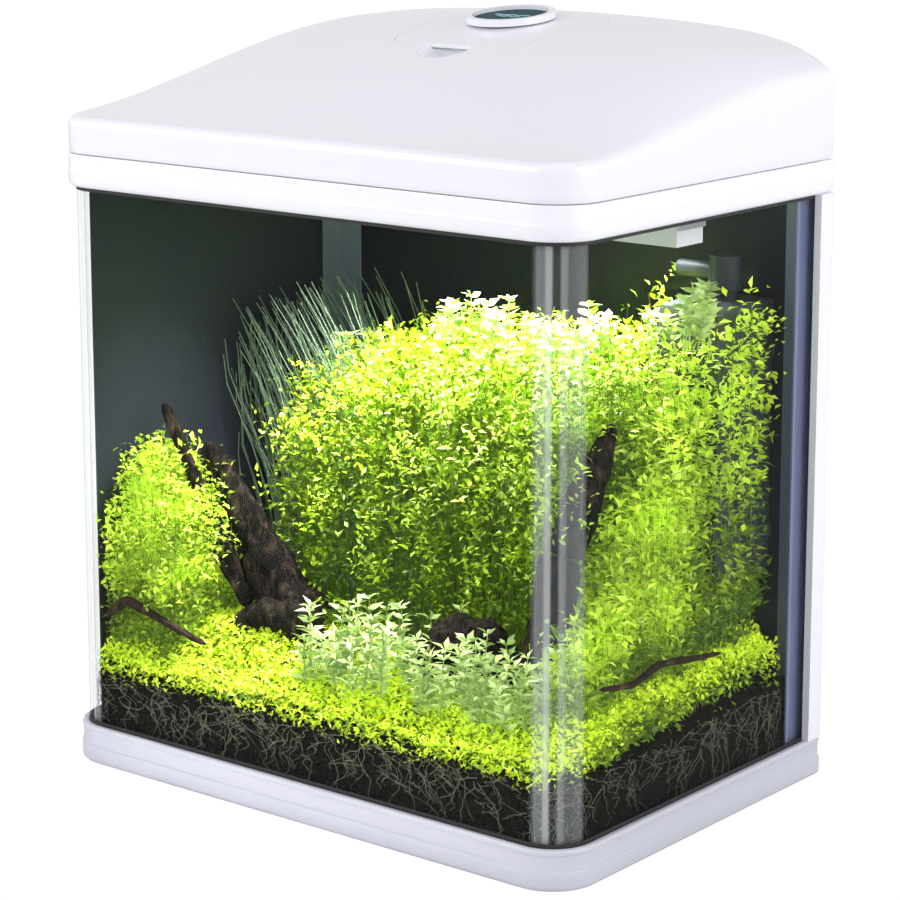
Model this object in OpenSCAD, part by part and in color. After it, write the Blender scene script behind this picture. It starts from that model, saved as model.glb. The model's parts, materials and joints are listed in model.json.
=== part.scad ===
// Aquarium on a low stand: bent-glass tank, moulded base and hood, lamp, filter and planting.
// Millimetres. +Z up, +X right, +Y back. The origin is at the centre of the base, on the table.

/* [Overall] */
// Width of the whole aquarium, measured across the frame
body_w = 380; // [340:1:460]
// Depth of the whole aquarium, front to back
body_d = 262; // [240:1:320]
// Outer radius of the two front corners
corner_r = 29; // [24:1:40]
// Outer radius of the two rear corners
rear_r = 4; // [3:0.5:8]

/* [Base] */
// Height of the base rim above the table
base_h = 25; // [22:0.5:36]
// Wall thickness of the base moulding
base_wall = 2.5; // [2:0.1:3.5]
// Thickness of the base floor
floor_t = 3.5; // [2.5:0.1:5]
// How far the rubber feet stand below the base
foot_h = 1.5; // [1:0.1:3]
// Diameter of a rubber foot
foot_d = 20; // [14:1:30]
// Thickness of the foam mat under the glass
mat_t = 4; // [2:0.5:6]

/* [Glass] */
// Thickness of every pane
glass_t = 4; // [3:0.5:6]
// Height of glass that shows between base and hood
glass_show = 328.5; // [260:0.5:420]
// How far the glass stands inside the outside of the base
glass_inset = 5; // [4.5:0.1:7]
// Thickness of a silicone joint between two panes
joint_t = 0.8; // [0.5:0.1:1.2]
// Height of the black rim seals that show above the base and below the hood
rim_seal_h = 2.2; // [1:0.1:4]
// Thickness of the background film
film_t = 0.3; // [0.2:0.05:0.5]

/* [Posts] */
// How far a rear post covers the side of the tank
post_side = 16; // [12:1:24]
// How far a rear post covers the back of the tank
post_back = 18; // [12:1:26]
// Length of the tongue at each end of a post
tongue_l = 2.7; // [2:0.1:2.9]

/* [Hood] */
// Height of the frame that caps the glass
frame_h = 19.5; // [17:0.5:26]
// Height of the frame's deck above the frame's lower edge
deck_rise = 12.5; // [10:0.5:14]
// Width of the deck round the opening
deck_w = 16; // [14:0.5:24]
// Wall thickness of the lid
lid_t = 2.2; // [1.8:0.1:3]
// Height of the lid's wall at the front
lid_front_h = 20.5; // [14:0.5:40]
// How far the lid's side walls rise towards the back
lid_side_rise = 28.5; // [10:0.5:40]
// How far the middle of the lid stands above its side walls
lid_crown = 27; // [10:0.5:40]
// Gap between the lid and the frame
seam_gap = 0.5; // [0.3:0.1:1]

/* [Feeding flap] */
// Width of the feeding flap
flap_w = 96; // [70:1:120]
// Depth of the feeding flap
flap_d = 96; // [70:1:100]
// Distance of the flap's rear edge in front of the back of the lid
flap_back = 22; // [18:1:40]
// Radius of the finger recess in front of the flap
cup_r = 16; // [12:1:22]

/* [Hinges] */
// Diameter of the lid's hinge pins
pin_d = 3; // [2.5:0.1:4]
// Outer diameter of the lid's hinge knuckles
knuckle_d = 8; // [7:0.5:9]
// Distance of each lid hinge from the middle
hinge_x = 112; // [60:1:130]
// Diameter of the flap's hinge pin
flap_pin_d = 2; // [1.6:0.1:2.4]

/* [Lamp] */
// Length of the lamp between its end caps
lamp_l = 318; // [260:1:330]
// Width of the lamp, front to back
lamp_w = 26; // [20:1:34]
// Height of the lamp
lamp_h = 18; // [16:1:20]
// How far the lamp hangs below the frame
lamp_drop = 20; // [16:0.5:26]
// Number of light-emitting diodes
led_count = 18; // [6:1:24]

/* [Filter] */
// Width of the filter case
case_w = 42; // [40:1:52]
// Depth of the filter case, front to back
case_d = 58; // [54:1:70]
// Wall thickness of the filter case
case_t = 2; // [1.6:0.1:3]
// Diameter of the pump's impeller shaft
shaft_d = 2.4; // [2:0.1:3]
// Outer diameter of the riser and outlet pipe
pipe_d = 14; // [12:0.5:16]
// Width of an intake slot
slot_w = 3; // [2:0.1:3.6]

/* [Planting] */
// Height of the soil at the front glass, above the table
soil_front = 56; // [44:1:70]
// Height of the soil at the back, above the table
soil_back = 62; // [50:1:100]
// Thickness of the plant carpet over the soil
carpet_t = 9; // [5:0.5:14]

/* [Hidden] */
$fn = 48;
fit = 0.3;          // clearance between pieces that only sit near each other
run_fit = 0.06;     // radial clearance of a pin in its bore
eps = 0.01;
rim_t = 3;          // thickness of the lips that close on the glass
step_in = 1;        // how far the lid and the base wall stand inside the widest line

// ---- levels and places worked out from the sizes above ----
floor_z = foot_h;
mat_z = floor_z + floor_t;
glass_z = mat_z + mat_t;
water_floor = glass_z + glass_t;
frame_z = base_h + glass_show;
deck_z = frame_z + deck_rise;
glass_top = deck_z;
seam_z = frame_z + frame_h;
lid_z = seam_z + seam_gap;
half_w = body_w / 2;
half_d = body_d / 2;
glass_x = half_w - glass_inset;          // outside of the side glass
glass_y = half_d - glass_inset;          // outside of the front and rear glass
in_x = glass_x - glass_t;                // inside of the side glass
in_y = glass_y - glass_t;                // inside of the front and rear glass
lid_x = half_w - step_in;
lid_y = half_d - step_in;

// ---- plan outlines ----
// Rounded outline of the body, drawn in from the outside by `inset`
module plan(inset) {
    w = half_w - inset;
    d = half_d - inset;
    r = corner_r - inset;
    rr = max(rear_r - inset, 0.6);
    translate([-w, r - d]) square([2 * w, 2 * d - r - rr]);
    translate([r - w, -d]) square([2 * (w - r), r + 1]);
    translate([rr - w, d - rr - 1]) square([2 * (w - rr), rr + 1]);
    for (s = [-1, 1]) {
        translate([s * (w - r), r - d]) circle(r, $fn = 64);
        translate([s * (w - rr), d - rr]) circle(rr, $fn = 32);
    }
}

// The same outline with a straight rear edge at y = back
module plan_open(inset, back) {
    w = half_w - inset;
    d = half_d - inset;
    r = corner_r - inset;
    translate([-w, r - d]) square([2 * w, back + d - r]);
    translate([r - w, -d]) square([2 * (w - r), r + 1]);
    for (s = [-1, 1]) translate([s * (w - r), r - d]) circle(r, $fn = 64);
}

module slab(z0, z1, inset) {
    translate([0, 0, z0]) linear_extrude(z1 - z0) plan(inset);
}

module block(x0, x1, y0, y1, z0, z1) {
    translate([x0, y0, z0]) cube([x1 - x0, y1 - y0, z1 - z0]);
}

// Horizontal rod along X between x0 and x1
module rod_x(x0, x1, y, z, d) {
    translate([x0, y, z]) rotate([0, 90, 0]) cylinder(h = x1 - x0, d = d);
}

// A pan-head screw with its shank down from z = 0 and its head above
module screw(d, l, head_d, head_h) {
    translate([0, 0, -l]) cylinder(h = l + eps, d = d);
    difference() {
        cylinder(h = head_h, d = head_d);
        for (a = [0, 90]) rotate([0, 0, a])
            translate([-head_d * 0.3, -0.35, head_h * 0.5]) cube([head_d * 0.6, 0.7, head_h]);
    }
}

// ---- base ----
base_line = base_h * 0.5;                // where the base wall steps in
foot_x = half_w - 34;
foot_y = half_d - 34;
peg_d = 5;
module base_tray() {
    color("white") difference() {
        union() {
            slab(floor_z, base_line, 0);
            slab(base_line, base_h - rim_t, step_in);
            slab(base_h - rim_t, base_h, step_in / 2);
        }
        slab(mat_z, base_h - rim_t, base_wall + step_in);
        slab(base_h - rim_t - eps, base_h + 1, glass_inset - fit);
        for (s = [-1, 1]) post_tongue(s, base_h - rim_t - eps, base_h + 1, fit / 2);
        for (x = [-1, 1], y = [-1, 1]) translate([x * foot_x, y * foot_y, floor_z - 1])
            cylinder(h = floor_t + 2, d = peg_d);
        for (x = [-1, 1], y = [-1, 1]) translate([x * foot_x, y * foot_y, floor_z - 1])
            cylinder(h = 2, d = foot_d + 2 * fit);
    }
}

module base_feet() {
    color("dimgray") for (x = [-1, 1], y = [-1, 1]) translate([x * foot_x, y * foot_y, 0]) {
        cylinder(h = floor_z + 1 - fit, d = foot_d);
        translate([0, 0, floor_z]) cylinder(h = floor_t - fit, d = peg_d - 2 * run_fit);
    }
}

module base_mat() {
    color("darkslategray") slab(mat_z, glass_z, glass_inset - fit);
}

// ---- glass box ----
module glass_bottom() {
    color("lightcyan", 0.4) translate([0, 0, glass_z]) linear_extrude(glass_t) intersection() {
        plan_open(glass_inset + glass_t + joint_t, in_y - joint_t);
        translate([-half_w, -half_d]) square([body_w, half_d + in_y - joint_t]);
    }
}

module glass_front() {
    color("lightcyan", 0.3) translate([0, 0, glass_z]) linear_extrude(glass_top - glass_z) difference() {
        plan_open(glass_inset, glass_y);
        plan_open(glass_inset + glass_t, glass_y + 1);
    }
}

module glass_back() {
    color("lightcyan", 0.3)
        block(joint_t - in_x, in_x - joint_t, in_y, glass_y, glass_z, glass_top);
}

bead = 3;                                // leg of a silicone bead
module seal_bottom() {
    inset = glass_inset + glass_t;
    color("gainsboro") {
        translate([0, 0, glass_z]) linear_extrude(glass_t) difference() {
            plan_open(inset, in_y);
            plan_open(inset + joint_t, in_y - joint_t);
        }
        translate([0, 0, water_floor]) linear_extrude(bead) difference() {
            plan_open(inset, in_y);
            plan_open(inset + bead, in_y - bead);
        }
    }
}

module seal_corners() {
    color("gainsboro") for (s = [-1, 1]) mirror([s < 0 ? 1 : 0, 0, 0])
        translate([0, 0, glass_z]) linear_extrude(glass_top - glass_z)
            translate([in_x - joint_t, in_y]) square([joint_t, glass_t]);
}

rim_seal_t = 0.45;                       // how far a rim seal stands out of the glass
module rim_seals() {
    back = half_d - post_side - fit;
    color("black") for (z = [base_h, frame_z - rim_seal_h]) translate([0, 0, z])
        linear_extrude(rim_seal_h) difference() {
            plan_open(glass_inset - rim_seal_t, back);
            plan_open(glass_inset, back + 1);
        }
}

module background_film() {
    z0 = base_h + rim_seal_h + fit;
    z1 = frame_z - rim_seal_h - fit;
    color("#2d333b") {
        block(post_back - glass_x, glass_x - post_back, glass_y, glass_y + film_t,
              base_h + fit, frame_z - fit);
        block(-glass_x - film_t, -glass_x, corner_r - half_d, glass_y - post_side, z0, z1);
    }
}

trim_leg = 18;
trim_t = 1.2;
module corner_trims() {
    z0 = water_floor + bead + fit;
    color("slategray") for (s = [-1, 1]) mirror([s < 0 ? 1 : 0, 0, 0])
        translate([0, 0, z0]) linear_extrude(glass_top - 6 - z0) difference() {
            translate([in_x - trim_leg, in_y - trim_leg]) square(trim_leg);
            translate([in_x - trim_leg - 1, in_y - trim_leg - 1]) square(trim_leg + 1 - trim_t);
        }
}

// ---- rear posts ----
tongue_in = 2.8;                         // depth of a tongue's outer face inside the outside
tongue_t = 1.6;
module post_tongue(s, z0, z1, grow) {
    mirror([s < 0 ? 1 : 0, 0, 0]) translate([0, 0, z0]) linear_extrude(z1 - z0) difference() {
        translate([half_w - post_side + 2 - grow, half_d - post_side + 2 - grow])
            square(post_side - 2 - tongue_in + 2 * grow);
        translate([half_w - post_side + 2 - grow - 1, half_d - post_side + 2 - grow - 1])
            square(post_side - 2 - tongue_in - tongue_t + 1);
    }
}

module post(s) {
    clear = film_t + 0.2;                // keeps the post off the film
    color("white") {
        mirror([s < 0 ? 1 : 0, 0, 0]) translate([0, 0, base_h]) linear_extrude(glass_show)
            difference() {
                intersection() {
                    plan(0);
                    translate([half_w - post_back, half_d - post_side])
                        square([post_back, post_side]);
                }
                square([glass_x + clear, glass_y + clear]);
            }
        post_tongue(s, base_h - tongue_l, base_h + eps, 0);
        post_tongue(s, frame_z - eps, frame_z + tongue_l, 0);
    }
}
module post_left() { post(-1); }
module post_right() { post(1); }

// ---- hood frame ----
lip_line = frame_z + frame_h * 0.5;      // where the frame wall steps in
up_out = step_in + lid_t + 0.6;          // outside of the upstand behind the seam
up_t = 1.6;
up_h = 4;
hinge_y = half_d - step_in / 2 - knuckle_d / 2;
hinge_z = seam_z + knuckle_d / 2 + 0.5;
rear_top = hinge_z - knuckle_d / 2 - 1;  // top of the frame's rear wall, under the hinges
hinge_band = half_d - step_in / 2 - knuckle_d - 1;   // everything behind this is kept clear
knuckle_l = 16;
knuckle_gap = 0.4;
module hood_frame() {
    color("white") difference() {
        union() {
            slab(frame_z, lip_line, 0);
            slab(lip_line, seam_z, step_in / 2);
            slab(seam_z - eps, seam_z + up_h, up_out);
        }
        slab(frame_z - 1, frame_z + rim_t, glass_inset - fit);
        slab(frame_z + rim_t - eps, deck_z, base_wall + step_in / 2);
        slab(deck_z - eps, seam_z + up_h + 1, glass_inset + deck_w);
        slab(deck_z + 2.5, seam_z + up_h + 1, up_out + up_t);
        for (s = [-1, 1]) post_tongue(s, frame_z - 1, frame_z + rim_t + eps, fit / 2);
        // the rear is lower, so that the lid can swing back over it
        block(-half_w - 1, half_w + 1, hinge_band, half_d + 1, seam_z, seam_z + up_h + 1);
        block(14 - half_w, half_w - 14, hinge_band, half_d + 1, rear_top, seam_z + up_h + 1);
        // cable outlet
        rotate([-90, 0, 0]) translate([cable_x, -cable_z, half_d - 20]) cylinder(h = 30, d = cable_d);
    }
    color("white") for (s = [-1, 1]) frame_knuckle(s);
}

module frame_knuckle(s) {
    difference() {
        union() {
            rod_x(s * hinge_x - knuckle_l / 2, s * hinge_x + knuckle_l / 2, hinge_y, hinge_z, knuckle_d);
            block(s * hinge_x - knuckle_l / 2, s * hinge_x + knuckle_l / 2,
                  hinge_y - knuckle_d / 2, hinge_y + 1.6, deck_z + 1, hinge_z);
        }
        rod_x(s * hinge_x - knuckle_l, s * hinge_x + knuckle_l, hinge_y, hinge_z, pin_d + 2 * run_fit);
    }
}

cable_x = 60;
cable_z = frame_z + 8;
cable_d = 7;
rear_wall_y = half_d - base_wall - step_in / 2;      // inner face of the frame's rear wall
module cable_grommet() {
    color("dimgray") rotate([-90, 0, 0]) translate([cable_x, -cable_z, 0]) difference() {
        union() {
            translate([0, 0, rear_wall_y]) cylinder(h = base_wall, d = cable_d - 2 * run_fit);
            translate([0, 0, rear_wall_y - 1.2]) cylinder(h = 1.2, d = cable_d + 1.6);
        }
        translate([0, 0, half_d - 20]) cylinder(h = 30, d = cable_d - 3);
    }
}

// ---- lid: one height field over the plan ----
// Height of the lid's side edge above the seam, rising in an S from front to back
function smooth(t) = let (u = min(max(t, 0), 1)) u * u * (3 - 2 * u);
function lid_edge(y) = lid_z + lid_front_h + lid_side_rise * smooth((y / lid_y + 0.98) / 1.75);
// Height of the lid's middle line above its side edge
function lid_mid(y) = let (t = min(max((y / lid_y + 1) / 2, 0), 1)) lid_crown * (1 - pow(1 - t, 2.6));
function across(x) = let (u = min(abs(x) / lid_x, 1)) 0.62 * (1 - pow(u, 8)) + 0.38 * (1 - u * u);
function lid_top(x, y) = lid_edge(y) + lid_mid(y) * across(x);

function arc(cx, cy, r, a0, a1, n) = [for (i = [0:n]) let (a = a0 + (a1 - a0) * i / n)
    [cx + r * cos(a), cy + r * sin(a)]];
function line(p, q, n) = [for (i = [1:n - 1]) p + (q - p) * i / n];
// Anticlockwise outline of the lid with points along its straight sides too
function lid_outline(inset) =
    let (w = half_w - inset, d = half_d - inset, r = corner_r - inset, rr = max(rear_r - inset, 1),
         right = arc(w - r, r - d, r, -90, 0, 7), back_right = arc(w - rr, d - rr, rr, 0, 90, 2),
         back_left = arc(rr - w, d - rr, rr, 90, 180, 2), left = arc(r - w, r - d, r, 180, 270, 7))
    concat(right, line([w, r - d], [w, d - rr], 9), back_right,
           line([w - rr, d], [rr - w, d], 14), back_left,
           line([-w, d - rr], [-w, r - d], 9), left, line([r - w, -d], [w - r, -d], 14));

edge_r = 2.5;                            // rounding between the lid's wall and its top
function ring(inset, share, z_of) = [for (p = lid_outline(inset)) let (q = p * share)
    [q[0], q[1], z_of == "top" ? lid_top(q[0], q[1]) : z_of == "under" ? lid_top(q[0], q[1]) - lid_t
        : z_of == "wall" ? lid_top(p[0], p[1]) - edge_r : lid_z + (p[1] > half_d - 14 ? rear_lift : 0)]];
rear_lift = 1.6;                         // the lid's rear edge is higher, so that it can swing back
outer_shares = [0.93, 0.84, 0.74, 0.62, 0.5, 0.38, 0.26, 0.13];
inner_shares = [0.9, 0.7, 0.45, 0.2];
lid_rings = concat(
    [ring(step_in, 1, "foot"), ring(step_in, 1, "wall"), ring(step_in + edge_r * 0.3, 1, "round"),
     ring(step_in + edge_r, 1, "top")],
    [for (s = outer_shares) ring(step_in + edge_r, s, "top")]);
inner_rings = concat(
    [ring(step_in + lid_t, 1, "foot"), ring(step_in + lid_t + 0.4, 0.999, "under")],
    [for (s = inner_shares) ring(step_in + lid_t, s, "under")]);
function fixed(rings) = [for (k = [0:len(rings) - 1]) k == 2
    ? [for (i = [0:len(rings[2]) - 1]) let (p = rings[2][i])
        [p[0], p[1], rings[3][i][2] - edge_r * 0.3]]
    : rings[k]];
module dome_shell() {
    outer = fixed(lid_rings);
    n = len(outer[0]);
    ko = len(outer);
    ki = len(inner_rings);
    points = concat([for (r = outer) each r], [for (r = inner_rings) each r],
                    [[0, 0, lid_top(0, 0)], [0, 0, lid_top(0, 0) - lid_t]]);
    base_i = ko * n;
    top = base_i + ki * n;
    faces = concat(
        [for (k = [0:ko - 2], i = [0:n - 1]) let (j = (i + 1) % n) each
            [[k * n + j, k * n + i, (k + 1) * n + i], [k * n + j, (k + 1) * n + i, (k + 1) * n + j]]],
        [for (i = [0:n - 1]) [(ko - 1) * n + (i + 1) % n, (ko - 1) * n + i, top]],
        [for (k = [0:ki - 2], i = [0:n - 1]) let (j = (i + 1) % n) each
            [[base_i + k * n + i, base_i + k * n + j, base_i + (k + 1) * n + i],
             [base_i + (k + 1) * n + i, base_i + k * n + j, base_i + (k + 1) * n + j]]],
        [for (i = [0:n - 1]) [base_i + (ki - 1) * n + i, base_i + (ki - 1) * n + (i + 1) % n, top + 1]],
        [for (i = [0:n - 1]) let (j = (i + 1) % n) each
            [[i, j, base_i + i], [base_i + i, j, base_i + j]]]);
    polyhedron(points, faces, convexity = 6);
}

strap_w = 11;                            // width of one hinge strap
rear_gap = 1.2;                          // gap behind the flap, for its tipping rear edge
hinge_w = knuckle_l + 2 * knuckle_gap + 2 * strap_w + 3;
flap_y1 = lid_y - flap_back;
flap_y0 = flap_y1 - flap_d;
module flap_plan(grow) {
    w = flap_w / 2 + grow;
    r = 10 + grow;
    y0 = flap_y0 - grow;
    y1 = flap_y1 + grow;
    translate([-w, y0 + r]) square([2 * w, y1 - y0 - 2 * r]);
    translate([r - w, y0]) square([2 * (w - r), y1 - y0]);
    for (x = [-1, 1], y = [y0 + r, y1 - r]) translate([x * (w - r), y]) circle(r, $fn = 32);
}

// The finger recess sits across the flap's front edge, square to the lid there
cup_depth = 9;
cup_wall = 1.6;
cup_y = flap_y0 - cup_r * 0.35;
cup_under = 1.2;                         // level of the rim's rear part below the recess's centre
cup_slope = atan((lid_top(0, cup_y + 8) - lid_top(0, cup_y - 8)) / 16);
cup_z = lid_top(0, cup_y) - 0.6;
module at_cup() { translate([0, cup_y, cup_z]) rotate([cup_slope, 0, 0]) children(); }

module lid() {
    color("white") difference() {
        dome_shell();
        translate([0, 0, lid_z + 4]) linear_extrude(200) flap_plan(0.5);
        translate([0, 0, lid_z + 4]) linear_extrude(200)
            translate([10 - flap_w / 2, flap_y1]) square([flap_w - 20, rear_gap]);
        at_cup() translate([0, 0, -20]) cylinder(h = 60, r = cup_r + cup_wall + fit);
        for (s = [-1, 1]) block(s * hinge_x - hinge_w / 2, s * hinge_x + hinge_w / 2, half_d - 12, half_d + 1,
                                lid_z - 1, hinge_z + knuckle_d / 2 + 0.6);
    }
}

module finger_cup() {
    color("white") at_cup() difference() {
        translate([0, 0, -cup_depth - cup_wall])
            cylinder(h = cup_depth + cup_wall, r1 = cup_r * 0.62, r2 = cup_r + cup_wall);
        translate([0, 0, -cup_depth]) cylinder(h = cup_depth + eps, r1 = cup_r * 0.55, r2 = cup_r);
        // the flap lies over the rear part of the rim
        rotate([-cup_slope, 0, 0])
            block(-cup_r * 2, cup_r * 2, flap_y0 - cup_y - 0.6, cup_r * 2, -cup_under, 20);
    }
}

// ---- lid hinges ----
pin_half = knuckle_l / 2 + knuckle_gap + strap_w;
module lid_hinge_pins() {
    color("silver") for (s = [-1, 1])
        rod_x(s * hinge_x - pin_half, s * hinge_x + pin_half, hinge_y, hinge_z, pin_d);
}

strap_top = lid_edge(lid_y) - 8;
strap_hole = 2.2;
strap_back = lid_y - lid_t - 0.5;        // back of a strap, just inside the lid's rear wall
strap_run = strap_back - hinge_y + 1.9;  // length of a strap screw
strap_mid = knuckle_l / 2 + knuckle_gap + strap_w / 2;
module lid_hinge_straps() {
    color("white") for (s = [-1, 1], e = [-1, 1]) difference() {
        x0 = s * hinge_x + e * strap_mid - strap_w / 2;
        x1 = x0 + strap_w;
        union() {
            rod_x(x0, x1, hinge_y, hinge_z, knuckle_d);
            block(x0, x1, hinge_y - 2, strap_back, hinge_z, strap_top);
        }
        rod_x(x0 - 1, x1 + 1, hinge_y, hinge_z, pin_d + 2 * run_fit);
        translate([(x0 + x1) / 2, half_d, strap_top - 8]) rotate([90, 0, 0]) cylinder(h = 40, d = strap_hole);
    }
}

module lid_hinge_screws() {
    color("silver") for (s = [-1, 1], e = [-1, 1])
        translate([s * hinge_x + e * strap_mid, hinge_y - 2, strap_top - 8])
            rotate([90, 0, 0]) screw(strap_hole - 2 * run_fit, strap_run, 5, 1.6);
}

// ---- feeding flap ----
flap_axis_y = flap_y1 - 18;
saddle_x = flap_w / 2 - 14;
ear_x = flap_w / 2 + 5;
function least_top(x0, x1, y0, y1) = min([for (x = [x0, x1], y = [y0, y1]) lid_top(x, y)]);
skin_fit = 0.9;                          // clearance under the curved skin of the lid
saddle_top = least_top(saddle_x - 3, ear_x + 3, flap_axis_y - 3, flap_axis_y + 3) - lid_t - skin_fit;
flap_axis_z = saddle_top - flap_pin_d / 2 - run_fit - 0.9;
module feed_flap() {
    color("white") intersection() {
        dome_shell();
        translate([0, 0, lid_z]) linear_extrude(200) flap_plan(0);
    }
}

// A bearing block under the skin of the lid or flap
module bearing(x) {
    difference() {
        union() {
            rod_x(x - 3, x + 3, flap_axis_y, flap_axis_z, 5);
            block(x - 3, x + 3, flap_axis_y - 2.5, flap_axis_y + 2.5, flap_axis_z, saddle_top);
        }
        rod_x(x - 4, x + 4, flap_axis_y, flap_axis_z, flap_pin_d + 2 * run_fit);
    }
}
module flap_hinge_saddles() { color("white") for (s = [-1, 1]) bearing(s * saddle_x); }
module flap_hinge_ears() { color("white") for (s = [-1, 1]) bearing(s * ear_x); }
module flap_pin() {
    color("silver") rod_x(-ear_x - 3.5, ear_x + 3.5, flap_axis_y, flap_axis_z, flap_pin_d);
}

badge_d = 54;
badge_t = 4;
badge_lip = 4;                           // width of the badge's white rim
badge_floor = 0.8;                       // thickness of the rim's floor under the disc
badge_disc_t = 1;
badge_y = (flap_y0 + flap_y1) / 2 + 9;
badge_slope = atan((lid_top(0, badge_y + 22) - lid_top(0, badge_y - 22)) / 44);
module at_badge() {
    translate([0, badge_y, lid_top(0, badge_y) + 0.4]) rotate([badge_slope, 0, 0]) children();
}
module badge_rim() {
    color("white") at_badge() difference() {
        cylinder(h = badge_t, d = badge_d);
        translate([0, 0, badge_floor]) cylinder(h = badge_t, d = badge_d - 2 * badge_lip);
    }
}
module badge_disc() {
    color("teal") at_badge() translate([0, 0, badge_floor])
        cylinder(h = badge_disc_t, d = badge_d - 2 * badge_lip - 0.2);
}

// ---- lamp ----
lamp_y = 20;
lamp_y0 = lamp_y - lamp_w / 2;
lamp_y1 = lamp_y + lamp_w / 2;
lamp_z = frame_z - lamp_drop;
lamp_wall = 1.6;
lens_t = 2;
cap_t = 4;
boss_d = 5;
boss_y = lamp_w / 2 - lamp_wall - boss_d / 2 + 0.6;
boss_z = lamp_z + lamp_h - lamp_wall - boss_d / 2 + 0.6;
lamp_screw_d = 2;
module lamp_housing() {
    color("whitesmoke") difference() {
        union() {
            difference() {
                block(-lamp_l / 2, lamp_l / 2, lamp_y0, lamp_y1, lamp_z, lamp_z + lamp_h);
                block(-lamp_l, lamp_l, lamp_y0 + lamp_wall, lamp_y1 - lamp_wall,
                      lamp_z - 1, lamp_z + lamp_h - lamp_wall);
            }
            for (s = [-1, 1], e = [-1, 1])
                rod_x(e > 0 ? lamp_l / 2 - 12 : -lamp_l / 2, e > 0 ? lamp_l / 2 : 12 - lamp_l / 2,
                      lamp_y + s * boss_y, boss_z, boss_d);
        }
        for (s = [-1, 1]) rod_x(-lamp_l, lamp_l, lamp_y + s * boss_y, boss_z, lamp_screw_d + 2 * run_fit);
    }
}
module lamp_ring(z0, z1, leg) {
    difference() {
        block(fit - lamp_l / 2, lamp_l / 2 - fit, lamp_y0 + lamp_wall + fit / 2,
              lamp_y1 - lamp_wall - fit / 2, z0, z1);
        block(fit + leg - lamp_l / 2, lamp_l / 2 - fit - leg, lamp_y0 + lamp_wall + fit / 2 + leg,
              lamp_y1 - lamp_wall - fit / 2 - leg, z0 - 1, z1 + 1);
    }
}
module lamp_lens() {
    color("lightcyan", 0.6) block(fit - lamp_l / 2, lamp_l / 2 - fit, lamp_y0 + lamp_wall + fit / 2,
        lamp_y1 - lamp_wall - fit / 2, lamp_z, lamp_z + lens_t);
}
module lamp_gasket() { color("black") lamp_ring(lamp_z + lens_t, lamp_z + lens_t + 1, 1.6); }
board_z = boss_z - boss_d / 2 - fit - 1.6;
module led_board() {
    color("silver") block(6 - lamp_l / 2, lamp_l / 2 - 6, lamp_y0 + lamp_wall + fit,
        lamp_y1 - lamp_wall - fit, board_z, board_z + 1.6);
}
module led_chips() {
    pitch = (lamp_l - 30) / led_count;
    color("khaki") for (i = [0:led_count - 1])
        translate([(i - (led_count - 1) / 2) * pitch, lamp_y, board_z - 0.4])
            cube([5, 5, 0.8], center = true);
}
hanger_x = lamp_l / 2 + cap_t;
hanger_t = 2;
deck_top = deck_z + 2.5;
module lamp_end_caps() {
    color("whitesmoke") for (s = [-1, 1]) mirror([s < 0 ? 1 : 0, 0, 0]) difference() {
        block(lamp_l / 2, hanger_x, lamp_y0, lamp_y1, lamp_z, lamp_z + lamp_h);
        for (e = [-1, 1])
            rod_x(lamp_l / 2 - 1, hanger_x + 1, lamp_y + e * boss_y, boss_z, lamp_screw_d + 2 * run_fit);
    }
}
module lamp_hangers() {
    color("silver") for (s = [-1, 1]) mirror([s < 0 ? 1 : 0, 0, 0]) difference() {
        union() {
            block(hanger_x, hanger_x + hanger_t, lamp_y0, lamp_y1,
                  boss_z - boss_d, deck_top + hanger_t);
            block(hanger_x, half_w - up_out - up_t - 1, lamp_y0, lamp_y1,
                  deck_top, deck_top + hanger_t);
        }
        for (e = [-1, 1])
            rod_x(lamp_l / 2 - 1, hanger_x + 9, lamp_y + e * boss_y, boss_z, lamp_screw_d + 2 * run_fit);
    }
}
module lamp_screws() {
    color("silver") for (s = [-1, 1], e = [-1, 1]) mirror([s < 0 ? 1 : 0, 0, 0])
        translate([hanger_x + hanger_t, lamp_y + e * boss_y, boss_z]) rotate([0, 90, 0])
            screw(lamp_screw_d, 12, 4, 1.4);
}

// ---- filter ----
case_x1 = in_x - trim_leg - 4;
case_x0 = case_x1 - case_w;
cup_gap = 7;                             // room for the suction cups behind the case
case_y1 = in_y - cup_gap;
case_y0 = case_y1 - case_d;
case_z0 = 128;
case_z1 = 288;
pump_w = 32;
pump_l = 34;
pump_h = 36;
pipe_x = (case_x0 + case_x1) / 2;
pipe_y = case_y1 - case_t - pump_l / 2 - 1;
pump_z = case_z0 + case_t;
chamber_d = 22;
chamber_l = 14;
pump_y0 = pipe_y - pump_l / 2;
shaft_z = pump_z + 15;
module filter_case() {
    color("#31363c") difference() {
        block(case_x0, case_x1, case_y0, case_y1, case_z0, case_z1);
        block(case_x0 + case_t, case_x1 - case_t, case_y0 + case_t, case_y1 - case_t, pump_z, case_z1 + 1);
        for (i = [0:9]) block(case_x0 + 7, case_x1 - 7, case_y0 - 1, case_y0 + case_t + 1,
                              case_z0 + 60 + i * 8, case_z0 + 60 + i * 8 + slot_w);
        for (x = [-1, 1], z = [case_z0 + 20, case_z1 - 30])
            translate([pipe_x + x * 10, case_y1 - case_t - 1, z]) rotate([-90, 0, 0])
                cylinder(h = case_t + 2, d = cup_stem + 2 * run_fit);
    }
}
lid_lip = 2;
dial_y = case_y0 + 14;
module in_case(gap, z0, z1) {
    g = case_t + gap;
    block(case_x0 + g, case_x1 - g, case_y0 + g, case_y1 - g, z0, z1);
}
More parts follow.
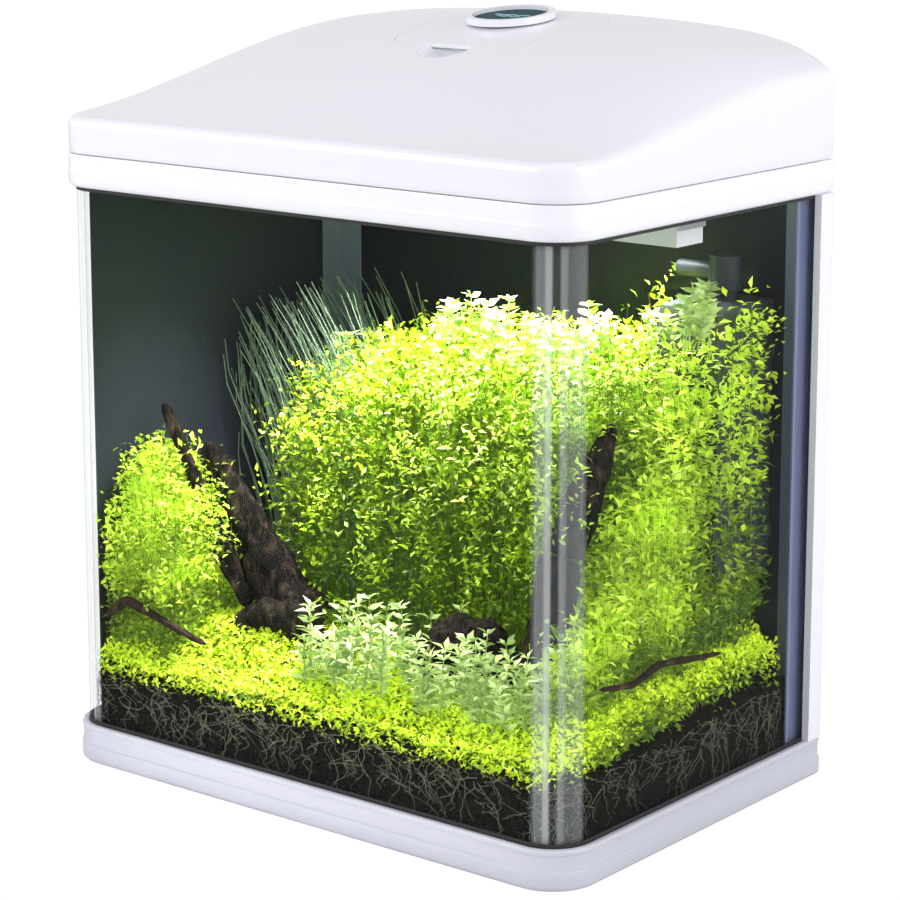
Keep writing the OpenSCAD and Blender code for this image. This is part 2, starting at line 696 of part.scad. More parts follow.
module filter_lid() {
    color("#31363c") difference() {
        union() {
            block(case_x0, case_x1, case_y0, case_y1, case_z1, case_z1 + lid_lip);
            in_case(fit, case_z1 - 4, case_z1 + eps);
        }
        in_case(2, case_z1 - 5, case_z1);
        translate([pipe_x, pipe_y, case_z1 - 6]) cylinder(h = 12, d = pipe_d + 2 * fit);
        translate([pipe_x, dial_y, case_z1 - 6]) cylinder(h = 12, d = dial_stem + 2 * run_fit);
    }
}
dial_stem = 6;
module flow_dial() {
    color("dimgray") translate([pipe_x, dial_y, case_z1 + lid_lip + 0.1]) difference() {
        union() {
            cylinder(h = 5, d = 15);
            translate([0, 0, -lid_lip - 5]) cylinder(h = lid_lip + 5 + eps, d = dial_stem);
        }
        for (i = [0:11]) rotate([0, 0, i * 30]) translate([8, 0, -1]) cylinder(h = 7, d = 2, $fn = 16);
    }
}
module filter_sponge() {
    color("#2b3a44") difference() {
        in_case(fit, pump_z + pump_h + 4, case_z1 - 14);
        translate([pipe_x, pipe_y, case_z0]) cylinder(h = 200, d = pipe_d + 2 * fit);
    }
}
module pump_body() {
    color("#22262b") difference() {
        block(pipe_x - pump_w / 2, pipe_x + pump_w / 2, pump_y0, pump_y0 + pump_l,
              pump_z, pump_z + pump_h);
        translate([pipe_x, pump_y0 - 1, shaft_z]) rotate([-90, 0, 0])
            cylinder(h = chamber_l + 1, d = chamber_d);
        translate([pipe_x, pump_y0 + 1, shaft_z]) rotate([-90, 0, 0])
            cylinder(h = chamber_l + 5, d = shaft_d);
        translate([pipe_x, pipe_y, pump_z + pump_h - 8]) cylinder(h = 9, d = pipe_d + 2 * run_fit);
        translate([pipe_x, pump_y0 + chamber_l - 4, shaft_z]) cylinder(h = pump_h - 20, d = 7);
        block(pipe_x - 2, pipe_x + 2, pump_y0 + chamber_l - 4, pipe_y,
              pump_z + pump_h - 12, pump_z + pump_h - 7);
    }
}
cover_t = 3;
module pump_cover() {
    color("#22262b") translate([pipe_x, pump_y0, shaft_z]) rotate([90, 0, 0]) difference() {
        cylinder(h = cover_t, d = chamber_d + 4);
        translate([0, 0, -1]) cylinder(h = cover_t, d = shaft_d);
        for (a = [0:60:300]) rotate([0, 0, a]) translate([7.5, 0, -1]) cylinder(h = cover_t + 2, d = 4);
    }
}
module impeller_shaft() {
    color("white") translate([pipe_x, pump_y0 - cover_t + 1 + fit, shaft_z]) rotate([-90, 0, 0])
        cylinder(h = cover_t - 1 + chamber_l + 3 - 2 * fit, d = shaft_d);
}
module impeller() {
    color("ghostwhite") translate([pipe_x, pump_y0 + 1, shaft_z]) rotate([-90, 0, 0]) difference() {
        union() {
            cylinder(h = chamber_l - 2, d = 8);
            for (a = [0:60:300]) rotate([0, 0, a]) translate([0, -0.6, 0]) cube([chamber_d / 2 - 1, 1.2, 6]);
        }
        translate([0, 0, -1]) cylinder(h = chamber_l + 2, d = shaft_d + 2 * run_fit);
    }
}
pipe_top = case_z1 + 26;
pipe_foot = pump_z + pump_h - 8;
module riser_pipe() {
    color("#3b444c") difference() {
        translate([pipe_x, pipe_y, pipe_foot]) cylinder(h = pipe_top - pipe_foot, d = pipe_d);
        translate([pipe_x, pipe_y, pump_z]) cylinder(h = 300, d = pipe_d - 3);
    }
}
nozzle_d = pipe_d + 5;
nozzle_z = case_z1 + lid_lip + 6;
spout_l = 22;
module outlet_nozzle() {
    color("#3b444c") translate([pipe_x, pipe_y, 0]) difference() {
        union() {
            translate([0, 0, nozzle_z]) cylinder(h = pipe_top + 2.5 - nozzle_z, d = nozzle_d);
            translate([0, 0, nozzle_z + 10]) rotate([0, -90, 0]) cylinder(h = nozzle_d / 2 + spout_l, d = 10);
        }
        translate([0, 0, nozzle_z - 1]) cylinder(h = pipe_top + 0.3 - nozzle_z + 1, d = pipe_d + 2 * run_fit);
        translate([0, 0, nozzle_z + 10]) rotate([0, -90, 0]) cylinder(h = nozzle_d + spout_l, d = 7);
    }
}
cup_stem = 5;
suction_d = 17;
module suction_cups() {
    color("dimgray") for (x = [-1, 1], z = [case_z0 + 20, case_z1 - 30])
        translate([pipe_x + x * 10, in_y, z]) rotate([90, 0, 0]) difference() {
            union() {
                cylinder(h = 3.5, d1 = suction_d, d2 = 8);
                cylinder(h = cup_gap + case_t, d = cup_stem);
            }
            translate([0, 0, -eps]) cylinder(h = 1.2, d1 = suction_d - 3, d2 = 4);
        }
}

// ---- planting: plain closed solids that hold the space of the real plants ----
function soil_z(y) = soil_front + (soil_back - soil_front) * smooth((y + in_y) / (2 * in_y));
// A mass that follows the soil below and runs from top0 (front) to top1 (back) above
module mass(x0, x1, y0, y1, lift, top0, top1) {
    n = 6;
    under = [for (i = [0:n]) let (y = y0 + (y1 - y0) * i / n) [y, soil_z(y) + lift]];
    translate([x0, 0, 0]) rotate([90, 0, 90]) linear_extrude(x1 - x0)
        polygon(concat(under, [[y1, top1], [y1 - 8, top1 + 8], [y0 + 8, top0 + 8], [y0, top0]]));
}
module in_tank(z0, z1, gap) {
    translate([0, 0, z0]) linear_extrude(z1 - z0) plan_open(glass_inset + glass_t + gap, in_y - gap);
}
module trim_room() {
    for (s = [-1, 1]) mirror([s < 0 ? 1 : 0, 0, 0])
        block(in_x - trim_leg - fit, in_x + 1, in_y - trim_leg - fit, in_y + 1, 0, 200);
}
module soil_bed() {
    n = 12;
    edge = [for (i = [0:n]) let (y = in_y * (1 - 2 * i / n)) [y, soil_z(y)]];
    color("#2a1d14") difference() {
        intersection() {
            union() {
                in_tank(water_floor, water_floor + bead + fit, bead + fit);
                in_tank(water_floor + bead + fit, soil_back + 1, fit);
            }
            translate([-half_w, 0, 0]) rotate([90, 0, 90]) linear_extrude(body_w)
                polygon(concat([[-in_y, 0], [in_y, 0]], edge));
        }
        trim_room();
    }
}
module carpet_plants() {
    color("yellowgreen") intersection() {
        in_tank(0, 200, 1.5);
        union() {
            carpet_strip(-in_x, in_x, 1 - in_y, -88);
            carpet_strip(-92, in_x, -88, -42);
        }
    }
}
module carpet_strip(x0, x1, y0, y1) {
    under = [for (i = [0:4]) let (y = y0 + (y1 - y0) * i / 4) [y, soil_z(y) + fit]];
    over = [for (i = [4:-1:0]) let (y = y0 + (y1 - y0) * i / 4) [y, soil_z(y) + fit + carpet_t]];
    translate([x0, 0, 0]) rotate([90, 0, 90]) linear_extrude(x1 - x0) polygon(concat(under, over));
}
over_carpet = carpet_t + 2 * fit;
module leafy_plants() { color("darkseagreen") mass(-20, 126, -84, -46, over_carpet, 112, 124); }
module left_bush() { color("olivedrab") mass(-177, -112, -85, -62, fit, 150, 176); }
module middle_bush() { color("yellowgreen") mass(-116, 96, 2, 78, fit, 232, 258); }
module right_bush() { color("olivedrab") mass(128, 176, -20, case_y0 - 3, fit, 248, 278); }
module reeds() { color("darkolivegreen") mass(-174, -121, 6, 88, fit, 262, 280); }

module limb(p, q, r0, r1) {
    hull() {
        translate(p) sphere(r0, $fn = 16);
        translate(q) sphere(r1, $fn = 16);
    }
}
trunk_foot = [-82, -22, soil_z(-8) + 15];
trunk_fork = [-126, -24, 134];
module driftwood_trunk() {
    color("saddlebrown") {
        limb(trunk_foot, trunk_fork, 14, 11);
        limb(trunk_fork, [-158, -26, 176], 11, 7);
        limb(trunk_fork, [-164, -44, 190], 8, 4);
    }
}
module driftwood_stump() {
    color("saddlebrown") limb([111, -12, soil_z(4) + 14], [111, 42, 218], 12, 7);
}
// A thin straight stem from p to q
module stem(p, q, d) {
    v = q - p;
    translate(p) rotate([0, acos(v[2] / norm(v)), atan2(v[1], v[0])]) cylinder(h = norm(v), d = d);
}
module twigs() {
    color("#3a2f28") {
        stem([-150, -57, soil_z(-54) + 1], [-172, -54, 286], 3);
        stem([-124, -57, soil_z(-54) + 1], [-150, -52, 298], 3);
        stem([-104, -57, soil_z(-54) + 1], [-118, -53, 262], 2.5);
    }
}

base_tray();
base_feet();
base_mat();
glass_bottom();
glass_front();
glass_back();
seal_bottom();
seal_corners();
rim_seals();
background_film();
corner_trims();
post_left();
post_right();
hood_frame();
cable_grommet();
lid();
lid_hinge_pins();
lid_hinge_straps();
lid_hinge_screws();
finger_cup();
feed_flap();
flap_hinge_saddles();
flap_hinge_ears();
flap_pin();
badge_rim();
badge_disc();
lamp_housing();
lamp_lens();
lamp_gasket();
led_board();
led_chips();
lamp_end_caps();
lamp_hangers();
lamp_screws();
filter_case();
filter_lid();
filter_sponge();
pump_body();
pump_cover();
impeller();
impeller_shaft();
riser_pipe();
outlet_nozzle();
flow_dial();
suction_cups();
soil_bed();
driftwood_trunk();
driftwood_stump();
twigs();
carpet_plants();
leafy_plants();
left_bush();
middle_bush();
right_bush();
reeds();
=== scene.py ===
"""A planted aquarium with a bent front glass, a white domed hood and a low white base.

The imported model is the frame. The mouldings, the glass and the planting are built here as finer
pieces that stand for their plain solids, and every other node gets a finish of its own.
Lengths are in metres. +Z is up, +X is to the right and +Y is to the back.
"""
import json
import logging
import math
from dataclasses import dataclass, field
from enum import Enum
from typing import Callable, ClassVar, Sequence

import bmesh
import bpy
import numpy as np
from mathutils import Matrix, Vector

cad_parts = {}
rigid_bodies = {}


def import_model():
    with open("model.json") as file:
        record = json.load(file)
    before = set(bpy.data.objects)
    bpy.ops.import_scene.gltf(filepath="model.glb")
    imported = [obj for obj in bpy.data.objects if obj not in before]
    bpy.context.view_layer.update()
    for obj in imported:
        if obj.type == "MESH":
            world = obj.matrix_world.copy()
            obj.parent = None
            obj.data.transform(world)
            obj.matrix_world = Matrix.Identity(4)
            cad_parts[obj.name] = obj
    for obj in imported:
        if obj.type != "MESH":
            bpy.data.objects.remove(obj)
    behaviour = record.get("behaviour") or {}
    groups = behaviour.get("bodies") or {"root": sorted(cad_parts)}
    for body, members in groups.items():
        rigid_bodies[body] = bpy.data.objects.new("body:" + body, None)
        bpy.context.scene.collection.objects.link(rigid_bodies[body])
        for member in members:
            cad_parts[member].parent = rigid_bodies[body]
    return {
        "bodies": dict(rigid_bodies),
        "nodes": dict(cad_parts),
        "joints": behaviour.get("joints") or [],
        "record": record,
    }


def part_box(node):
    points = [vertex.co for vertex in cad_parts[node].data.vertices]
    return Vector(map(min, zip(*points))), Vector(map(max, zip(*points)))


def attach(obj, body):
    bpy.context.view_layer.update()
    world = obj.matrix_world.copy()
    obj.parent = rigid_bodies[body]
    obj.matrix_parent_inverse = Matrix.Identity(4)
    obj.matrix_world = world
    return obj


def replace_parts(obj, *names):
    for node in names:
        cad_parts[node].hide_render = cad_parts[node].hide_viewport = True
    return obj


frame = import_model()
LOG = logging.getLogger("aquarium")
MM = 0.001
Colour = tuple[float, float, float]
Profile = list[tuple[float, float]]
TURN = 6.28  # how far a random turn may go, in radians


# ---------------------------------------------------------------- shader helpers
class Graph:
    """Adds and links nodes in one shader tree."""

    def __init__(self, tree: bpy.types.NodeTree) -> None:
        """Keep the tree that the nodes go in."""
        self.tree = tree

    def add(self, kind: str, settings: dict | None = None, **inputs: object) -> bpy.types.Node:
        """Add a node, set its properties and fill its inputs.

        Args:
            kind: The node's type name.
            settings: Properties of the node itself, by name.
            inputs: Values or output sockets by input name, with _ for a space, or by place as i0, i1.

        Returns:
            The new node.
        """
        node = self.tree.nodes.new(kind)
        for key, value in (settings or {}).items():
            setattr(node, key, value)
        for key, value in inputs.items():
            by_place = key[0] == "i" and key[1:].isdigit()
            socket = node.inputs[int(key[1:])] if by_place else node.inputs[key.replace("_", " ")]
            if isinstance(value, bpy.types.NodeSocket):
                self.tree.links.new(value, socket)
            elif isinstance(value, tuple) and socket.type == "RGBA" and len(value) == 3:
                socket.default_value = (*value, 1.0)
            else:
                socket.default_value = value
        return node

    def math(self, operation: str, *values: object) -> bpy.types.NodeSocket:
        """Do one step of arithmetic on numbers or sockets, and return the result."""
        inputs = {f"i{place}": value for place, value in enumerate(values)}
        return self.add("ShaderNodeMath", {"operation": operation}, **inputs).outputs[0]

    def noise(self, scale: float, detail: float = 3.0, vector: object = None,
              rough: float = 0.5) -> bpy.types.NodeSocket:
        """Add a noise texture in object space and return its value."""
        where = vector or self.add("ShaderNodeTexCoord").outputs["Object"]
        node = self.add("ShaderNodeTexNoise", Vector=where, Scale=scale, Detail=detail, Roughness=rough)
        return node.outputs["Fac"]

    def remap(self, value: object, low: float, high: float, to_low: float = 0.0,
              to_high: float = 1.0) -> bpy.types.NodeSocket:
        """Map a value's range on to another and return the result."""
        return self.add("ShaderNodeMapRange", i0=value, i1=low, i2=high, i3=to_low, i4=to_high).outputs[0]

    def blend(self, factor: object, first: object, second: object) -> bpy.types.NodeSocket:
        """Mix two colours and return the result."""
        node = self.add("ShaderNodeMix", {"data_type": "RGBA"})
        for index, value in ((0, factor), (6, first), (7, second)):
            if isinstance(value, bpy.types.NodeSocket):
                self.tree.links.new(value, node.inputs[index])
            else:
                node.inputs[index].default_value = (*value, 1.0) if isinstance(value, tuple) else value
        return node.outputs[2]


def new_group(name: str, inputs: Sequence[tuple[str, str, object]], outputs: Sequence[tuple[str, str]]) -> tuple:
    """Make an empty shader group with named sockets.

    Args:
        name: The group's name.
        inputs: Name, socket type and default of each input.
        outputs: Name and socket type of each output.

    Returns:
        The group, its graph helper, its input node and its output node.
    """
    tree = bpy.data.node_groups.new(name, "ShaderNodeTree")
    for label, kind, default in inputs:
        tree.interface.new_socket(label, in_out="INPUT", socket_type=kind).default_value = default
    for label, kind in outputs:
        tree.interface.new_socket(label, in_out="OUTPUT", socket_type=kind)
    return tree, Graph(tree), tree.nodes.new("NodeGroupInput"), tree.nodes.new("NodeGroupOutput")


FLOAT, RGBA = "NodeSocketFloat", "NodeSocketColor"


class Effect(Enum):
    """The shared surface effects."""

    MOTTLE = "mottle"
    GRAIN = "grain"
    WEAR = "edge_wear"


class EffectLibrary:
    """Builds each shared effect once, as a shader group."""

    def __init__(self) -> None:
        """Start with no group built."""
        self.groups: dict[Effect, bpy.types.NodeTree] = {}

    def get(self, effect: Effect) -> bpy.types.NodeTree:
        """Return the group of an effect, and build it the first time."""
        if effect not in self.groups:
            builders = {Effect.MOTTLE: self._mottle, Effect.GRAIN: self._grain, Effect.WEAR: self._wear}
            self.groups[effect] = builders[effect]()
        return self.groups[effect]

    @staticmethod
    def _mottle() -> bpy.types.NodeTree:
        """Build blotches between two colours, with edges from soft to sharp."""
        tree, g, given, result = new_group("mottle", [("First", RGBA, (1, 1, 1, 1)), ("Second", RGBA, (0, 0, 0, 1)),
            ("Scale", FLOAT, 10.0), ("Sharpness", FLOAT, 0.3)], [("Color", RGBA), ("Mask", FLOAT)])
        low = g.math("MULTIPLY", given.outputs["Sharpness"], 0.5)
        mask = g.remap(g.noise(given.outputs["Scale"], 5.0), low, g.math("SUBTRACT", 1.0, low))
        tree.links.new(mask, result.inputs["Mask"])
        tree.links.new(g.blend(mask, given.outputs["First"], given.outputs["Second"]), result.inputs["Color"])
        return tree

    @staticmethod
    def _grain() -> bpy.types.NodeTree:
        """Build a fine moulded grain: its height, and a roughness that drifts slowly over the surface."""
        tree, g, given, result = new_group("grain", [("Scale", FLOAT, 900.0), ("Roughness", FLOAT, 0.3),
            ("Spread", FLOAT, 0.05)], [("Height", FLOAT), ("Roughness", FLOAT)])
        drift_scale = 18.0
        tree.links.new(g.noise(given.outputs["Scale"], 2.0), result.inputs["Height"])
        shift = g.math("SUBTRACT", g.noise(drift_scale, 3.0), 0.5)
        rough = g.math("MULTIPLY_ADD", shift, given.outputs["Spread"], given.outputs["Roughness"])
        tree.links.new(rough, result.inputs["Roughness"])
        return tree

    @staticmethod
    def _wear() -> bpy.types.NodeTree:
        """Build a lighter tone on convex edges, broken up by noise."""
        tree, g, given, result = new_group("edge_wear", [("Color", RGBA, (1, 1, 1, 1)), ("Worn", RGBA, (1, 1, 1, 1)),
            ("Amount", FLOAT, 0.5)], [("Color", RGBA), ("Mask", FLOAT)])
        edge = g.remap(g.add("ShaderNodeNewGeometry").outputs["Pointiness"], 0.52, 0.62)
        chip_scale = 60.0
        broken = g.math("MULTIPLY", edge, g.remap(g.noise(chip_scale, 4.0), 0.35, 0.65))
        mask = g.math("MULTIPLY", broken, given.outputs["Amount"])
        tree.links.new(mask, result.inputs["Mask"])
        tree.links.new(g.blend(mask, given.outputs["Color"], given.outputs["Worn"]), result.inputs["Color"])
        return tree


EFFECTS = EffectLibrary()


def new_material(name: str) -> tuple[bpy.types.Material, Graph, bpy.types.Node]:
    """Make a material with an empty tree.

    Returns:
        The material, its graph helper and its output node.
    """
    material = bpy.data.materials.new(name)
    material.use_nodes = True
    material.node_tree.nodes.clear()
    graph = Graph(material.node_tree)
    return material, graph, graph.add("ShaderNodeOutputMaterial")


def use(graph: Graph, effect: Effect, **inputs: object) -> bpy.types.Node:
    """Place a shared effect in a material with its own values."""
    node = graph.add("ShaderNodeGroup", {"node_tree": EFFECTS.get(effect)})
    for key, value in inputs.items():
        socket = node.inputs[key]
        if isinstance(value, bpy.types.NodeSocket):
            graph.tree.links.new(value, socket)
        else:
            socket.default_value = (*value, 1.0) if isinstance(value, tuple) else value
    return node


@dataclass(frozen=True)
class Moulded:
    """A moulded plastic, rubber or plain metal finish.

    Args:
        name: The material's name.
        colour: Its main colour.
        second: The colour of its faint blotches.
        roughness: Its mean roughness.
        coat: The weight of a clear, glossy skin.
        metallic: One for bare metal.
        bump: The depth of its grain, in metres.
        grain: How many grains there are to a metre.
        wear: How strongly its edges lighten.
        emission: How strongly it glows.
        specular: The level of its mirror reflection.
    """

    name: str
    colour: Colour
    second: Colour
    roughness: float = 0.35
    coat: float = 0.0
    metallic: float = 0.0
    bump: float = 0.00001
    grain: float = 900.0
    wear: float = 0.0
    emission: float = 0.0
    specular: float = 0.5
    BLOTCHES: ClassVar[float] = 14.0
    SOFT: ClassVar[float] = 0.1
    SPREAD: ClassVar[float] = 0.16

    def build(self) -> bpy.types.Material:
        """Build the material."""
        material, g, out = new_material(self.name)
        mottle = use(g, Effect.MOTTLE, First=self.colour, Second=self.second, Scale=self.BLOTCHES,
                     Sharpness=self.SOFT)
        colour = mottle.outputs["Color"]
        if self.wear:
            worn = tuple(min(1.0, c * 1.5 + 0.08) for c in self.colour)
            colour = use(g, Effect.WEAR, Color=colour, Worn=worn, Amount=self.wear).outputs["Color"]
        spread = self.roughness * self.SPREAD
        grain = use(g, Effect.GRAIN, Scale=self.grain, Roughness=self.roughness, Spread=spread)
        bump = g.add("ShaderNodeBump", Distance=self.bump, Strength=1.0, Height=grain.outputs["Height"])
        shader = g.add("ShaderNodeBsdfPrincipled", Base_Color=colour, Roughness=grain.outputs["Roughness"],
                       Metallic=self.metallic, Coat_Weight=self.coat, Coat_Roughness=0.08,
                       Specular_IOR_Level=self.specular, Normal=bump.outputs[0])
        if self.emission:
            shader.inputs["Emission Color"].default_value = (*self.colour, 1.0)
            shader.inputs["Emission Strength"].default_value = self.emission
        g.tree.links.new(shader.outputs[0], out.inputs[0])
        return material


@dataclass(frozen=True)
class ClearGlass:
    """Clear glass that lets light straight through, and mirrors a little of the room on its front faces.

    Args:
        name: The material's name.
        tint: What it leaves of the light that passes.
        gloss: The roughness of its mirror.
        reflect: How much of the room its mirror gives back.
        index: The index that sets how the mirror grows towards grazing views.
    """

    name: str
    tint: Colour
    gloss: float = 0.015
    reflect: float = 0.6
    index: float = 1.22

    def build(self) -> bpy.types.Material:
        """Build the material."""
        material, g, out = new_material(self.name)
        fresnel = g.add("ShaderNodeFresnel", IOR=self.index)
        front = g.math("SUBTRACT", 1.0, g.add("ShaderNodeNewGeometry").outputs["Backfacing"])
        share = g.math("MULTIPLY", fresnel.outputs[0], front)
        clear = g.add("ShaderNodeBsdfTransparent", Color=self.tint)
        mirror = g.add("ShaderNodeBsdfGlossy", Roughness=self.gloss, Color=(self.reflect,) * 3)
        both = g.add("ShaderNodeMixShader", i0=share, i1=clear.outputs[0], i2=mirror.outputs[0])
        g.tree.links.new(both.outputs[0], out.inputs[0])
        return material


@dataclass(frozen=True)
class Leaf:
    """Leaf, stem or root tissue whose tone comes from the mesh's attribute "tone", which carries painted light and
    shade along with random differences.

    Args:
        name: The material's name.
        dark: Its tone deep in the plant, where the tone paints shade.
        light: Its tone on the newest leaves and on the plants' tops, where the tone paints light.
        roughness: Its mean roughness.
        painted_glow: How strongly it glows by emission in its own colour, painted light that stands in for light
            through thin leaves.
        spots: How many spots there are to a metre.
        spot_share: How strongly the spots show.
        grain: How many grains there are to a metre.
        bump: The depth of its grain, in metres.
    """

    name: str
    dark: Colour
    light: Colour
    roughness: float = 0.45
    painted_glow: float = 0.0
    spots: float = 160.0
    spot_share: float = 0.35
    grain: float = 1500.0
    bump: float = 0.00005

    def build(self) -> bpy.types.Material:
        """Build the material."""
        material, g, out = new_material(self.name)
        tone = g.add("ShaderNodeAttribute", {"attribute_name": "tone"}).outputs["Fac"]
        colour = g.blend(tone, self.dark, self.light)
        spots = use(g, Effect.MOTTLE, First=self.dark, Second=self.light, Scale=self.spots, Sharpness=0.5)
        shown = g.remap(spots.outputs["Mask"], 0.0, 1.0, 0.0, self.spot_share)
        mixed = g.blend(shown, colour, spots.outputs["Color"])
        grain = use(g, Effect.GRAIN, Scale=self.grain, Roughness=self.roughness, Spread=0.15)
        bump = g.add("ShaderNodeBump", Distance=self.bump, Strength=0.6, Height=grain.outputs["Height"])
        shader = g.add("ShaderNodeBsdfPrincipled", Base_Color=mixed, Roughness=grain.outputs["Roughness"],
                       Normal=bump.outputs[0])
        # Painted glow: the leaf's own colour is added as emission, so it shines though it is no lamp.
        if self.painted_glow:
            g.tree.links.new(mixed, shader.inputs["Emission Color"])
            shader.inputs["Emission Strength"].default_value = self.painted_glow
        g.tree.links.new(shader.outputs[0], out.inputs[0])
        return material


@dataclass(frozen=True)
class Rough:
    """Soil, bark or sponge: a broken surface of two tones with a deep bump.

    Args:
        name: The material's name.
        dark: Its tone in the hollows.
        light: Its tone on the high parts.
        scale: How many lumps there are to a metre.
        depth: The depth of its bump, in metres.
        roughness: Its roughness.
        cells: Whether it is made of round cells, where bark has long fibres.
        stretch: The scale of the fibres along Z, as a share of that across them.
        specular: The level of its mirror reflection.
    """

    name: str
    dark: Colour
    light: Colour
    scale: float
    depth: float
    roughness: float = 0.85
    cells: bool = False
    stretch: float = 0.22
    specular: float = 0.12

    def build(self) -> bpy.types.Material:
        """Build the material."""
        material, g, out = new_material(self.name)
        where = g.add("ShaderNodeTexCoord").outputs["Object"]
        if self.cells:
            lumps = g.add("ShaderNodeTexVoronoi", Vector=where, Scale=self.scale)
            tone = g.add("ShaderNodeSeparateColor", Color=lumps.outputs["Color"]).outputs[0]
            height = g.remap(lumps.outputs["Distance"], 0.0, 0.7, 1.0, 0.0)
        else:
            stretch = g.add("ShaderNodeMapping", Vector=where)
            stretch.inputs["Scale"].default_value = (1.0, 1.0, self.stretch)
            tone = g.noise(self.scale, 8.0, stretch.outputs[0], 0.65)
            height = tone
        fleck = use(g, Effect.MOTTLE, First=self.dark, Second=self.light, Scale=self.scale * 0.4, Sharpness=0.7)
        colour = g.blend(g.remap(tone, 0.44, 0.72), self.dark, fleck.outputs["Color"])
        worn = use(g, Effect.WEAR, Color=colour, Worn=self.light, Amount=0.6).outputs["Color"]
        bump = g.add("ShaderNodeBump", Distance=self.depth, Strength=0.8, Height=height)
        shader = g.add("ShaderNodeBsdfPrincipled", Base_Color=worn, Roughness=self.roughness,
                       Specular_IOR_Level=self.specular, Normal=bump.outputs[0])
        g.tree.links.new(shader.outputs[0], out.inputs[0])
        return material


Finish = Moulded | ClearGlass | Leaf | Rough


# ---------------------------------------------------------------- mesh helpers
def make_piece(name: str, points: np.ndarray, faces: Sequence, finish: bpy.types.Material, body: str = "tank",
               smooth_angle: float = 40.0) -> bpy.types.Object:
    """Make a mesh piece that rides on a body.

    Args:
        name: The piece's name.
        points: Its points, one row each.
        faces: Lists of point numbers.
        finish: Its material.
        body: The body that it moves with.
        smooth_angle: Edges sharper than this, in degrees, stay hard.

    Returns:
        The new object.
    """
    mesh = bpy.data.meshes.new(name)
    mesh.from_pydata(np.asarray(points, float).tolist(), [], faces if isinstance(faces, list) else faces.tolist())
    mesh.update()
    mesh.materials.append(finish)
    mesh.shade_smooth()
    mesh.set_sharp_from_angle(angle=math.radians(smooth_angle))
    piece = bpy.data.objects.new(name, mesh)
    bpy.context.scene.collection.objects.link(piece)
    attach(piece, body)
    LOG.info("%s: %d faces", name, len(mesh.polygons))
    return piece


def loft(rings: list[np.ndarray], closed: bool = False, caps: bool = False) -> tuple[np.ndarray, list]:
    """Join rings of equally many points into one surface.

    Args:
        rings: The rings in order, each a closed loop of points.
        closed: Whether the last ring joins the first.
        caps: Whether the first and last rings are filled.

    Returns:
        The points and the faces.
    """
    count = len(rings[0])
    faces = []
    last = len(rings) if closed else len(rings) - 1
    for k in range(last):
        a, b = k * count, ((k + 1) % len(rings)) * count
        faces += [[a + i, a + (i + 1) % count, b + (i + 1) % count, b + i] for i in range(count)]
    if caps:
        faces.append(list(range(count))[::-1])
        faces.append([(len(rings) - 1) * count + i for i in range(count)])
    return np.concatenate(rings), faces


def arc(centre: tuple[float, float], radius: float, start: float, end: float, steps: int) -> np.ndarray:
    """Return the points of an arc, with its angles in degrees."""
    angles = np.radians(np.linspace(start, end, steps + 1))
    return np.stack([centre[0] + radius * np.cos(angles), centre[1] + radius * np.sin(angles)], 1)


def straight(first: Sequence[float], last: Sequence[float], steps: int) -> np.ndarray:
    """Return the points between two ends, without the ends."""
    share = np.linspace(0, 1, steps + 1)[1:-1, None]
    return np.asarray(first) * (1 - share) + np.asarray(last) * share


def cut(piece: bpy.types.Object, tool: bpy.types.Object, operation: str = "DIFFERENCE") -> None:
    """Cut a piece's mesh with a tool's, and delete the tool.

    Args:
        piece: The object whose mesh changes.
        tool: The closed mesh that cuts it.
        operation: DIFFERENCE or INTERSECT.
    """
    change = piece.modifiers.new("cut", "BOOLEAN")
    change.operation, change.solver, change.object = operation, "EXACT", tool
    bpy.context.view_layer.update()
    result = bpy.data.meshes.new_from_object(piece.evaluated_get(bpy.context.evaluated_depsgraph_get()))
    piece.modifiers.clear()
    old, piece.data = piece.data, result
    bpy.data.meshes.remove(old)
    bpy.data.objects.remove(tool)
    while len(result.materials) > 1:
        result.materials.pop(index=len(result.materials) - 1)


def cutter(rings: list[np.ndarray]) -> bpy.types.Object:
    """Make a closed mesh to cut with, which is no piece of the model.

    Args:
        rings: The rings of points that it runs through.

    Returns:
        The cutting object.
    """
    points, faces = loft(rings, caps=True)
    mesh = bpy.data.meshes.new("tool")
    mesh.from_pydata(points.tolist(), [], faces)
    tool = bpy.data.objects.new("tool", mesh)
    bpy.context.scene.collection.objects.link(tool)
    return tool


def prism(points: np.ndarray, low: float, high: float) -> bpy.types.Object:
    """Return an upright cutting prism from an outline in X and Y."""
    return cutter([np.column_stack([points, np.full(len(points), z)]) for z in (low, high)])


def crosswise(outline: np.ndarray, start: float, width: float) -> list[np.ndarray]:
    """Return the two end rings of a block along X, from an outline in Y and Z."""
    flat = np.column_stack([np.zeros(len(outline)), outline])
    return [flat + (start, 0, 0), flat + (start + width, 0, 0)]


def rectangle(x0: float, x1: float, y0: float, y1: float, radius: float = 0.0, steps: int = 8) -> np.ndarray:
    """Return a rectangle's outline, anticlockwise, with round corners if asked."""
    if radius <= 0:
        return np.array([(x0, y0), (x1, y0), (x1, y1), (x0, y1)])
    corners = ((x1 - radius, y0 + radius, -90), (x1 - radius, y1 - radius, 0),
               (x0 + radius, y1 - radius, 90), (x0 + radius, y0 + radius, 180))
    return np.concatenate([arc((cx, cy), radius, a, a + 90, steps) for cx, cy, a in corners])


